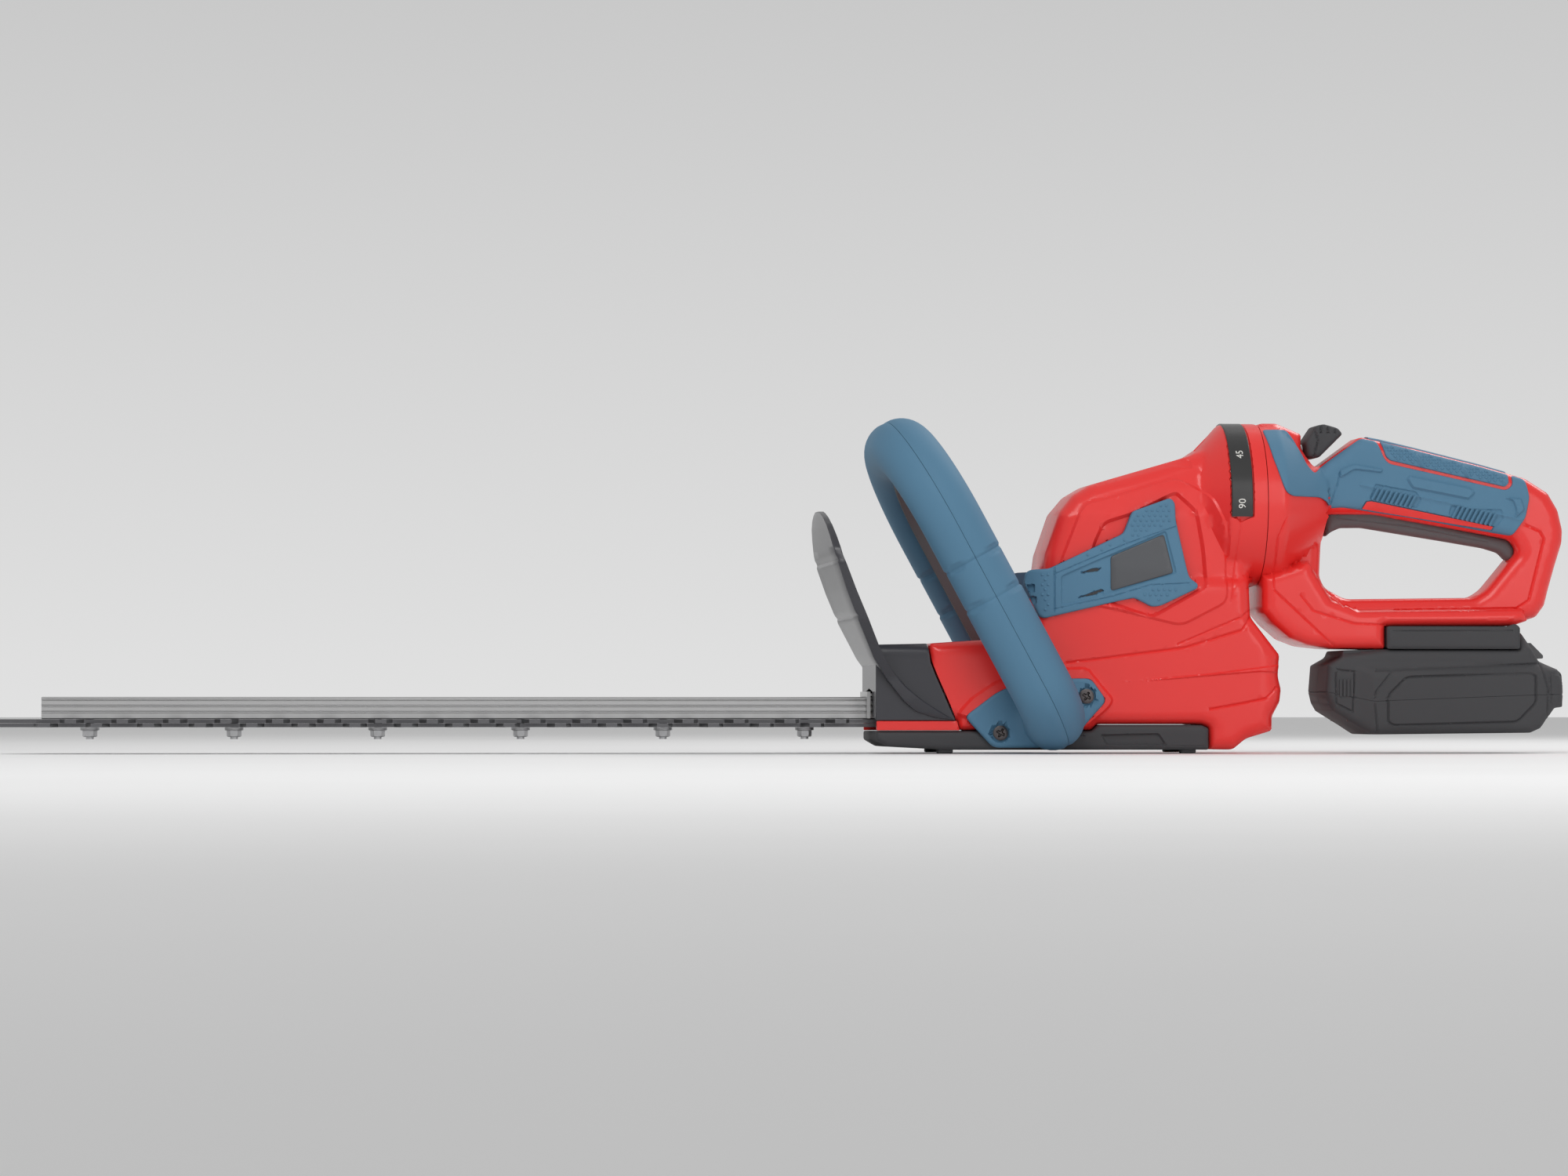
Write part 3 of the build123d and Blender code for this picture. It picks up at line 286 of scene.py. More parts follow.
def moulded(loops, front, spacing=3.0, wall=2.5, features=(), rows=(), split=0.1, opening=None):
    """Half of a hollow moulding, open at the split, and at its border where opening(points) is true."""
    extra = np.vstack([f.points() for f in features]) if features else ()
    co, tri = fill(loops, spacing, extra, rows)
    level, inset, n = front(co), wall + 1.5, len(co)
    walls = np.vstack([dense(loop, 1.0) for loop in loops])
    if opening:
        walls = walls[~opening(walls)]
    depth = np.array([np.hypot(*(walls - p).T).min() for p in co])
    hollow = without_pinches(tri[(depth[tri].min(1) > inset) & (level[tri].min(1) > inset + 1)])
    kept = {tuple(t) for t in hollow}
    out = level + sum((f.change(co) for f in features), np.zeros(n))
    verts = np.vstack([sheet(co, -out), sheet(co, np.full(n, -split)), sheet(co, inset - level)])
    faces = [tuple(t) for t in tri] + [tuple(t[::-1] + n) for t in tri if tuple(t) not in kept]
    faces += [tuple(t[::-1] + 2 * n) for t in hollow]
    outer, inner = border_edges(tri), border_edges(hollow)
    mouth = set(outer) & set(inner)
    lips = {v for edge in mouth for v in edge}
    for a, b in outer:
        if (a, b) in mouth:
            faces.append((b, a, a + 2 * n, b + 2 * n))
        else:
            faces.append((b, a) + ((a + 2 * n,) if a in lips else ()) + (a + n, b + n)
                         + ((b + 2 * n,) if b in lips else ()))
    faces += [(b + n, a + n, a + 2 * n, b + 2 * n) for a, b in inner if (a, b) not in mouth]
    return Shape().add(verts, faces)


# ---- pieces ------------------------------------------------------------------------------------
def to_mesh(name, shape):
    mesh = bpy.data.meshes.new(name)
    mesh.from_pydata([tuple(c * MM for c in v) for v in shape.verts], [], shape.faces)
    work = bmesh.new()
    work.from_mesh(mesh)
    bmesh.ops.remove_doubles(work, verts=work.verts, dist=2e-6)
    work.to_mesh(mesh)
    work.free()
    mesh.validate()
    return mesh


def piece(name, shape, body, slot, *nodes, angle=32):
    """Finishes a piece: mesh, finish, the body it rides on and the nodes it stands for."""
    mesh = shape if isinstance(shape, bpy.types.Mesh) else to_mesh(name, shape)
    mesh.name = name
    for face in mesh.polygons:
        face.use_smooth = True
        face.material_index = 0
    mesh.set_sharp_from_angle(angle=radians(angle))
    mesh.materials.clear()
    mesh.materials.append(finish(slot))
    made = bpy.data.objects.new(name, mesh)
    bpy.context.scene.collection.objects.link(made)
    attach(made, body)
    if nodes:
        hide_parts(*nodes)
    return made


def pair(name, half, body, slot, *nodes):
    """A near piece and the far one that mirrors it."""
    piece(name + "_near", half, body, slot, *nodes[:1])
    piece(name + "_far", half.mirrored(), body, slot, *nodes[1:])


def both_sides(shape):
    return Shape().join(shape).join(shape.mirrored())


def from_nose(points):
    return [(NOSE + s, z) for s, z in points]


def from_seam(points):
    return [(SEAM + h, z) for h, z in points]


def swept(rings):
    """A solid through rings that have the same number of points each."""
    n = len(rings[0])
    verts = [v for ring in rings for v in ring]
    faces = []
    for i in range(len(rings) - 1):
        for k in range(n):
            a, b = i * n + k, i * n + (k + 1) % n
            faces.append((a, b, b + n, a + n))
    faces.append(tuple(range(n))[::-1])
    faces.append(tuple(range(len(verts) - n, len(verts))))
    return Shape().add(verts, faces)


def turned(profile, steps=32):
    """A solid turned about -Y: profile is (radius, how far out) from one pole to the other."""
    angles = [2 * pi * k / steps for k in range(steps)]
    return swept([[(r * cos(a), -out, r * sin(a)) for a in angles] for r, out in profile])


def outward(shape):
    """The same closed shape with every face turned to look out of it."""
    mesh = to_mesh("work", shape)
    work = bmesh.new()
    work.from_mesh(mesh)
    bmesh.ops.recalc_face_normals(work, faces=work.faces)
    out = Shape().add([tuple(c / MM for c in v.co) for v in work.verts],
                      [[v.index for v in f.verts] for f in work.faces])
    work.free()
    bpy.data.meshes.remove(mesh)
    return out


# ---- repeated details, made with Geometry Nodes ------------------------------------------------
def copying_tree(name, sockets, place):
    """A tree that copies one shape: place(tree, start, put) gives the copies their points and turns."""
    if name in bpy.data.node_groups:
        return bpy.data.node_groups[name]
    tree = bpy.data.node_groups.new(name, "GeometryNodeTree")
    add = tree.interface.new_socket
    add("Geometry", in_out="INPUT", socket_type="NodeSocketGeometry")
    add("Shape", in_out="INPUT", socket_type="NodeSocketObject")
    for label, kind in sockets:
        add(label, in_out="INPUT", socket_type="NodeSocket" + kind)
    add("Finish", in_out="INPUT", socket_type="NodeSocketMaterial")
    add("Geometry", in_out="OUTPUT", socket_type="NodeSocketGeometry")
    start, end = tree.nodes.new("NodeGroupInput"), tree.nodes.new("NodeGroupOutput")
    source = tree.nodes.new("GeometryNodeObjectInfo")
    put = tree.nodes.new("GeometryNodeInstanceOnPoints")
    real = tree.nodes.new("GeometryNodeRealizeInstances")
    paint = tree.nodes.new("GeometryNodeSetMaterial")
    tree.links.new(start.outputs["Shape"], source.inputs["Object"])
    tree.links.new(source.outputs["Geometry"], put.inputs["Instance"])
    place(tree, start, put)
    tree.links.new(put.outputs["Instances"], real.inputs["Geometry"])
    tree.links.new(real.outputs["Geometry"], paint.inputs["Geometry"])
    tree.links.new(start.outputs["Finish"], paint.inputs["Material"])
    tree.links.new(paint.outputs["Geometry"], end.inputs["Geometry"])
    return tree


def on_points(tree, start, put):
    """A copy on every point of the host, by the turn stored there, and a little larger or smaller."""
    turns = tree.nodes.new("GeometryNodeInputNamedAttribute")
    turns.data_type = "FLOAT_VECTOR"
    turns.inputs["Name"].default_value = "turn"
    vary = tree.nodes.new("FunctionNodeRandomValue")
    vary.inputs["Seed"].default_value = 7
    for sign, limit in (("SUBTRACT", 2), ("ADD", 3)):
        bound = tree.nodes.new("ShaderNodeMath")
        bound.operation = sign
        tree.links.new(start.outputs["Size"], bound.inputs[0])
        tree.links.new(start.outputs["Size variation"], bound.inputs[1])
        tree.links.new(bound.outputs[0], vary.inputs[limit])
    tree.links.new(start.outputs["Geometry"], put.inputs["Points"])
    tree.links.new(turns.outputs["Attribute"], put.inputs["Rotation"])
    tree.links.new(vary.outputs[1], put.inputs["Scale"])


def on_a_line(tree, start, put):
    """Evenly spaced copies along a straight row."""
    line = tree.nodes.new("GeometryNodeMeshLine")
    for label, socket in (("Count", "Count"), ("First", "Start Location"), ("Pitch", "Offset")):
        tree.links.new(start.outputs[label], line.inputs[socket])
    tree.links.new(line.outputs["Mesh"], put.inputs["Points"])


def grown(tree, host_mesh, shape, slot, **values):
    """Runs a tree over a host mesh with one shape to copy, and returns the plain mesh it makes."""
    unit = bpy.data.objects.new("unit", to_mesh("unit", shape))
    host = bpy.data.objects.new("host", host_mesh)
    for made in (unit, host):
        bpy.context.scene.collection.objects.link(made)
    modifier = host.modifiers.new("detail", "NODES")
    modifier.node_group = tree
    values.update(Shape=unit, Finish=finish(slot))
    for item in tree.interface.items_tree:
        if item.in_out == "INPUT" and item.name in values:
            modifier[item.identifier] = values[item.name]
    view = bpy.context.evaluated_depsgraph_get()
    mesh = bpy.data.meshes.new_from_object(host.evaluated_get(view))
    host.modifiers.clear()
    for made in (unit, host):
        data = made.data
        bpy.data.objects.remove(made)
        bpy.data.meshes.remove(data)
    if not mesh.polygons:
        raise RuntimeError("a row of details came out empty")
    return mesh


def scattered(shape, places, slot, turns, size=1.0, variation=0.0):
    """One shape copied to each place (millimetres), each with its own turn."""
    host = bpy.data.meshes.new("places")
    host.from_pydata([tuple(c * MM for c in p) for p in places], [], [])
    turn = host.attributes.new("turn", "FLOAT_VECTOR", "POINT")
    turn.data.foreach_set("vector", np.array(turns, np.float32).ravel())
    tree = copying_tree("copies on points", (("Size", "Float"), ("Size variation", "Float")), on_points)
    return grown(tree, host, shape, slot, Size=size, **{"Size variation": variation})


def in_a_row(shape, count, first, pitch, slot):
    """One shape copied along a row (millimetres)."""
    tree = copying_tree("row of copies", (("Count", "Int"), ("First", "Vector"), ("Pitch", "Vector")),
                        on_a_line)
    return grown(tree, bpy.data.meshes.new("row"), shape, slot, Count=count,
                 First=[c * MM for c in first], Pitch=[c * MM for c in pitch])


def phillips_screw(radius, long):
    """A domed cross-head screw that looks towards -Y, its seat at the origin."""
    rim = np.array([(radius * cos(2 * pi * k / 36), radius * sin(2 * pi * k / 36)) for k in range(36)])

    def front(co):
        r = np.linalg.norm(co, axis=1) / radius
        top = 1.2 + 0.55 * np.sqrt(np.clip(1 - r ** 2.6, 0, 1))
        arm = 0.13 * radius
        a, b = np.abs(co[:, 0]), np.abs(co[:, 1])
        cross = ((a < arm) & (b < 0.56 * radius)) | ((b < arm) & (a < 0.56 * radius))
        return np.where(cross, top - 1.25, top)

    return plate([rim], front, flat(-long), radius / 7)


# ---- finishes ----------------------------------------------------------------------------------
def rgb(r, g, b):
    """A colour from its 0-255 display values."""
    shares = (r / 255, g / 255, b / 255)
    return tuple(c / 12.92 if c <= 0.04045 else ((c + 0.055) / 1.055) ** 2.4 for c in shares)


class TrimmerColours(bpy.types.PropertyGroup):
    """Colours that a user would change."""
    red: bpy.props.FloatVectorProperty(name="Body red", description="Moulded housing and handle",
                                       subtype="COLOR", min=0, max=1, default=rgb(238, 14, 15))
    blue: bpy.props.FloatVectorProperty(name="Grip blue", description="Loop handle and soft grips",
                                        subtype="COLOR", min=0, max=1, default=rgb(72, 120, 152))
    dark: bpy.props.FloatVectorProperty(name="Dark trim",
                                        description="Battery, bottom cover and rotation lock",
                                        subtype="COLOR", min=0, max=1, default=rgb(58, 60, 64))
    guard: bpy.props.FloatVectorProperty(name="Guard", description="Hand guard and nose collar",
                                         subtype="COLOR", min=0, max=1, default=rgb(26, 27, 29))
    trigger: bpy.props.FloatVectorProperty(name="Trigger grey", description="Trigger, switch bar and latch",
                                           subtype="COLOR", min=0, max=1, default=rgb(104, 106, 108))
    plates: bpy.props.FloatVectorProperty(name="Plates", description="Plain plates on the sides",
                                          subtype="COLOR", min=0, max=1, default=rgb(126, 128, 131))


class TrimmerSizes(bpy.types.PropertyGroup):
    """Sizes that a user would change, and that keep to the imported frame."""
    grain: bpy.props.FloatProperty(name="Moulded grain",
                                   description="Size of the fine texture of the mouldings",
                                   subtype="DISTANCE", unit="LENGTH", min=0.0002, max=0.003, default=0.0007)
    corner: bpy.props.FloatProperty(name="Corner", description="Radius of the housing's rounded edges",
                                    subtype="DISTANCE", unit="LENGTH", min=0.002, max=0.012, default=0.008)
    dimple: bpy.props.FloatProperty(name="Dimple", description="Radius of a dimple in the side trims",
                                    subtype="DISTANCE", unit="LENGTH", min=0.0004, max=0.002, default=0.0010)
    dimple_pitch: bpy.props.FloatProperty(name="Dimple pitch", description="Distance between dimples",
                                          subtype="DISTANCE", unit="LENGTH", min=0.002, max=0.01,
                                          default=0.0036)
    bevel: bpy.props.FloatProperty(name="Cutting bevel", description="Width of the ground edge of a tooth",
                                   subtype="DISTANCE", unit="LENGTH", min=0.0005, max=0.003, default=0.0020)


def nodes_of(name):
    made = bpy.data.materials.new(name)
    made.use_nodes = True
    tree = made.node_tree
    return made, tree, tree.nodes["Principled BSDF"]


def noise_on(tree, scale, detail=3.0, stretch=(1, 1, 1)):
    place = tree.nodes.new("ShaderNodeTexCoord")
    turn = tree.nodes.new("ShaderNodeMapping")
    turn.inputs["Scale"].default_value = stretch
    noise = tree.nodes.new("ShaderNodeTexNoise")
    noise.inputs["Scale"].default_value = scale
    noise.inputs["Detail"].default_value = detail
    tree.links.new(place.outputs["Object"], turn.inputs["Vector"])
    tree.links.new(turn.outputs["Vector"], noise.inputs["Vector"])
    return noise.outputs["Fac"]


def between(tree, value, low, high):
    node = tree.nodes.new("ShaderNodeMapRange")
    node.inputs["From Min"].default_value = 0.3
    node.inputs["From Max"].default_value = 0.7
    node.inputs["To Min"].default_value = low
    node.inputs["To Max"].default_value = high
    tree.links.new(value, node.inputs["Value"])
    return node.outputs["Result"]


def shade_colour(tree, value, colour, spread):
    """The colour a little darker and lighter along a value."""
    ramp = tree.nodes.new("ShaderNodeValToRGB")
    ends = ramp.color_ramp.elements
    ends[0].position, ends[1].position = 0.3, 0.7
    ends[0].color = tuple(min(1, c * (1 - spread)) for c in colour) + (1,)
    ends[1].color = tuple(min(1, c * (1 + spread)) for c in colour) + (1,)
    tree.links.new(value, ramp.inputs["Fac"])
    return ramp.outputs["Color"]


def bump_from(tree, shader, value, strength, depth, normal):
    bump = tree.nodes.new("ShaderNodeBump")
    bump.inputs["Strength"].default_value = strength
    bump.inputs["Distance"].default_value = depth
    tree.links.new(value, bump.inputs["Height"])
    tree.links.new(normal, bump.inputs["Normal"])
    tree.links.new(bump.outputs["Normal"], shader.inputs["Normal"])


def soften(tree, radius):
    """Narrow rounded light along the hard edges of a machined or moulded piece."""
    node = tree.nodes.new("ShaderNodeBevel")
    node.samples = 4
    node.inputs["Radius"].default_value = radius
    return node.outputs["Normal"]


def moulded_plastic(name, colour, rough, grain=1.0, strength=0.12, fleck=0.0, coat=0.0, spread=0.05,
                    shine=0.5, clear=0.0):
    """Moulded plastic: fine grain, slow drift of shade and gloss, and a metallic fleck where asked."""
    made, tree, shader = nodes_of(name)
    fine = noise_on(tree, grain / bpy.context.scene.trimmer_sizes.grain, 2.0)
    slow = noise_on(tree, 14.0, 4.0)
    tint = shade_colour(tree, slow, colour, spread)
    if fleck:
        cells = tree.nodes.new("ShaderNodeTexVoronoi")
        cells.inputs["Scale"].default_value = 1700
        place = tree.nodes.new("ShaderNodeTexCoord")
        tree.links.new(place.outputs["Object"], cells.inputs["Vector"])
        spot = tree.nodes.new("ShaderNodeMapRange")
        spot.inputs["From Min"].default_value = 0.24
        spot.inputs["From Max"].default_value = 0.12
        spot.inputs["To Max"].default_value = fleck
        tree.links.new(cells.outputs["Distance"], spot.inputs["Value"])
        mix = tree.nodes.new("ShaderNodeMix")
        mix.data_type = "RGBA"
        tree.links.new(spot.outputs["Result"], mix.inputs["Factor"])
        tree.links.new(tint, mix.inputs["A"])
        mix.inputs["B"].default_value = tuple(min(1, c * 2.1 + 0.06) for c in colour) + (1,)
        tint = mix.outputs["Result"]
    tree.links.new(tint, shader.inputs["Base Color"])
    tree.links.new(between(tree, slow, rough - 0.05, rough + 0.06), shader.inputs["Roughness"])
    shader.inputs["Coat Weight"].default_value = coat
    shader.inputs["Coat Roughness"].default_value = 0.2
    shader.inputs["IOR"].default_value = 1.45
    shader.inputs["Specular IOR Level"].default_value = shine
    shader.inputs["Transmission Weight"].default_value = clear
    bump_from(tree, shader, fine, strength, 0.0003, soften(tree, 0.0006))
    return made


def metal(name, colour, rough, streak, scale, strength):
    """Bare metal: brushed or cast streaks that change its shade and gloss."""
    made, tree, shader = nodes_of(name)
    lines = noise_on(tree, scale, 5.0, streak)
    cloud = noise_on(tree, 30.0, 5.0)
    shader.inputs["Metallic"].default_value = 1.0
    tree.links.new(shade_colour(tree, cloud, colour, 0.12), shader.inputs["Base Color"])
    tree.links.new(between(tree, lines, rough - 0.08, rough + 0.10), shader.inputs["Roughness"])
    bump_from(tree, shader, lines, strength, 0.0002, soften(tree, 0.0003))
    return made


def finish(slot):
    """The finish for a material slot, made once."""
    if slot in bpy.data.materials:
        return bpy.data.materials[slot]
    tone = bpy.context.scene.trimmer_colours
    plastics = {
        "red_plastic": dict(colour=tone.red, rough=0.36, strength=0.10, spread=0.04, shine=0.06),
        "blue_soft": dict(colour=tone.blue, rough=0.44, grain=1.2, strength=0.16, fleck=0.35),
        "guard_grey": dict(colour=tone.guard, rough=0.30, grain=0.8, strength=0.05, spread=0.06, shine=0.10),
        "dark_grey": dict(colour=tone.dark, rough=0.47, strength=0.22, spread=0.07, shine=0.35),
        "mid_grey": dict(colour=tone.trigger, rough=0.45, strength=0.16),
        "plate_grey": dict(colour=tone.plates, rough=0.34, grain=0.6, strength=0.05, coat=0.2),
        "white_nylon": dict(colour=rgb(222, 218, 206), rough=0.5),
        "cell_wrap": dict(colour=rgb(70, 120, 150), rough=0.3, coat=0.4),
        "board_green": dict(colour=rgb(28, 92, 58), rough=0.4, grain=3.0, strength=0.1),
        "carbon": dict(colour=rgb(40, 40, 42), rough=0.62, grain=0.5, strength=0.3),
        "smoke_band": dict(colour=rgb(52, 54, 58), rough=0.16, grain=2.0, strength=0.02, coat=0.6,
                           clear=0.25),
        "gauge_lens": dict(colour=rgb(70, 74, 78), rough=0.16, grain=2.0, strength=0.02, coat=0.6,
                           clear=0.25),
    }
    if slot in plastics:
        return moulded_plastic(slot, **plastics[slot])
    metals = {
        "rail_aluminium": (rgb(228, 229, 231), 0.40, (0.02, 1, 1), 4500, 0.03),
        "blade_steel": (rgb(128, 130, 134), 0.34, (0.08, 1, 1), 2600, 0.05),
        "bright_steel": (rgb(220, 218, 210), 0.20, (1, 1, 1), 300, 0.04),
        "screw_steel": (rgb(84, 84, 86), 0.32, (1, 1, 1), 500, 0.08),
        "gear_steel": (rgb(146, 144, 140), 0.34, (1, 1, 0.1), 600, 0.08),
        "bronze": (rgb(186, 132, 74), 0.34, (1, 1, 1), 420, 0.06),
        "copper": (rgb(214, 122, 84), 0.30, (1, 1, 0.2), 1400, 0.30),
        "nickel": (rgb(204, 198, 184), 0.26, (1, 1, 1), 300, 0.04),
    }
    return metal(slot, *metals[slot])


# ---- body --------------------------------------------------------------------------------------
LOWER = [(30, 20.3), (51.5, 20.3), (53, 14.2), (137, 14.2), (141, 18), (207, 18), (212, 16), (212, 2),
         (228, 2), (236, 9), (253, 14), (253, 23), (258, 32), (259, 40), (257, 48), (258, 62), (246, 77),
         (239, 86), (238, 112), (120, 114), (108, 100), (96, 73), (33.7, 69), (34, 60)]
HUMP = [(104, 60), (107, 112), (109, 126), (118, 152), (127, 163), (138, 169.5), (203, 189.5), (230, 200),
        (240, 187), (240, 60)]
HOUSING = [(51.5, 20.3), (53, 14.4), (137, 14.4), (141, 18.2), (207, 18.2), (212, 16), (212, 2.2), (228, 2),
           (236, 9), (253, 14), (253, 23), (258, 32), (259, 40), (257, 48), (258, 62), (246, 77), (239, 86),
           (238, 104), (247.7, 106.2), (247.7, 209.8), (225, 209.8), (205, 189), (138, 169.5), (127, 163),
           (118, 152), (109, 126), (106, 98), (96, 73), (34.2, 69), (36, 57), (40, 47), (44.5, 37),
           (48.5, 27.5)]


def collar_out(co):
    """How far the round collar stands out at each point."""
    s, z = co[:, 0] - NOSE, co[:, 1] - SWIVEL_Z
    r = np.interp(s, [205, 225], [30, SWIVEL_R])
    return np.where(s >= 205, np.sqrt(np.clip(r * r - z * z, 0, None)), 0)


def body_out(co):
    """Half width of the housing: belly, motor hump and collar together."""
    corner = bpy.context.scene.trimmer_sizes.corner / MM
    s, z = co[:, 0] - NOSE, co[:, 1]
    low = depth_in(co, [np.array(from_nose(LOWER))])
    belly = np.interp(z, [0, 6, 104, 130], [38, 42, 42, 33]) - 2 * np.clip((s - 246) / 14, 0, 1)
    belly = np.where(low > -0.2, belly - edge_drop(low, corner), 0)
    high = depth_in(co, [np.array(from_nose(HUMP))])
    hump = np.interp(z, [60, 150, 168, 190, 200], [37, 37, 32, 24, 20])
    hump = np.where(high > -0.2, hump - edge_drop(high, corner * 1.3), 0)
    return np.maximum(np.maximum(belly, hump), np.maximum(collar_out(co), 0.4))


FRAME_OUT = [(116, 118), (129.7, 153.1), (134.6, 158.4), (145.1, 160.7), (192.8, 174.8), (214.6, 163.1),
             (223.0, 143.6), (223.6, 124.2), (224, 95), (194, 79.6), (155, 89), (125, 95)]
FRAME_IN = [(137.4, 130.9), (144.4, 146.2), (162.6, 151.8), (189.3, 164.7), (192.8, 165.1), (205.4, 153.3),
            (209.6, 129.7), (211.7, 104.7), (175.3, 84.4), (150, 93.1), (132, 100)]
FLANGE = [(56, 23), (76, 38), (96, 47), (136, 47), (146, 33), (128, 13), (116, 3.4), (74, 3.4)]
FLANGE_SCREWS = ((133.2, 35.7), (78.7, 12.6))
FLANGE_SEAT = [(60, 20.3), (50, 24), (60, 35), (74, 44.5), (95, 53), (134, 54.5), (151, 34), (149, 29),
               (133, 14.4), (80, 14.4)]
TRIM = [(94.3, 107), (95.6, 113.2), (98.4, 115.4), (110, 116.1), (157.5, 138.4), (163.1, 152.3),
        (187.6, 161.1), (190.4, 157.9), (190.7, 147.5), (197.4, 115.6), (199.1, 110.3), (204.4, 106.6),
        (204.1, 103.8), (180.6, 92.7), (175, 92), (163.8, 97.8), (152.6, 95.4), (106.5, 84.7), (103.4, 86)]


class TRIMMER_OT_housing(bpy.types.Operator):
    """Two red half shells with their raised frames, grooves and flange seats"""
    bl_idname = "trimmer.housing"
    bl_label = "Housing"

    def execute(self, context):
        details = [
            Panel(from_nose(FRAME_OUT), 1.5, 1.6, 6), Panel(from_nose(FRAME_IN), -2.3, 2.2, 5),
            Panel(from_nose(FLANGE_SEAT), 2.6, 1.8, 4), Panel(from_nose(FLANGE), -3.0, 0.8, 3),
            Panel(from_nose(TRIM), -3.4, 0.8, 2),
            Groove(from_nose([(120.8, 56.6), (196.3, 66.4), (232.8, 77.5), (238.5, 86)]), 2.6, 1.0),
            Panel(from_nose([(140, 43.5), (211.8, 50.2), (244, 54.2), (258, 56.2), (257, 50.5), (244, 51),
                             (184, 46)]),
                  1.2, 1.0, 1),
            Groove(from_nose([(211.8, 27.5), (231.4, 31), (248.3, 34.5), (255, 41.4)]), 2.4, 1.0),
            Groove(from_nose([(192, 68.6), (232.8, 85.9), (238, 90)]), 2.2, 0.8),
            Groove(from_nose([(230.5, 147), (229, 120), (226, 97)]), 1.6, 0.5),
            Panel(from_nose([(136, 167), (166, 175), (191, 181.6), (204, 180), (203, 186), (190, 187),
                             (165, 179)]),
                  -0.8, 0.8, 1),
            Groove(from_nose([(163, 136), (186, 146)]), 3.0, 1.2),
            Panel(from_nose([(223.9, 214), (239.2, 214), (239.2, 149), (231, 145.5), (223.9, 149)]), -2.0,
                  0.3, 0),
        ]

        def opening(p):
            """Where the swivel and the blades pass through the shell's edge."""
            s, z = p[:, 0] - NOSE, p[:, 1]
            return ((s > 246.5) & (abs(z - SWIVEL_Z) < 38)) | ((s < 152) & (z < np.where(s < 60, 32, 24)))

        half = moulded([smooth_corners(from_nose(HOUSING), 3, 4)], body_out, 2.6,
                       features=details, rows=(0.25, 0.8, 1.7, 3.0, 4.8, 7.0), opening=opening)
        pair("skin_housing", half, "main_body", "red_plastic", "housing_left", "housing_right")
        return {"FINISHED"}


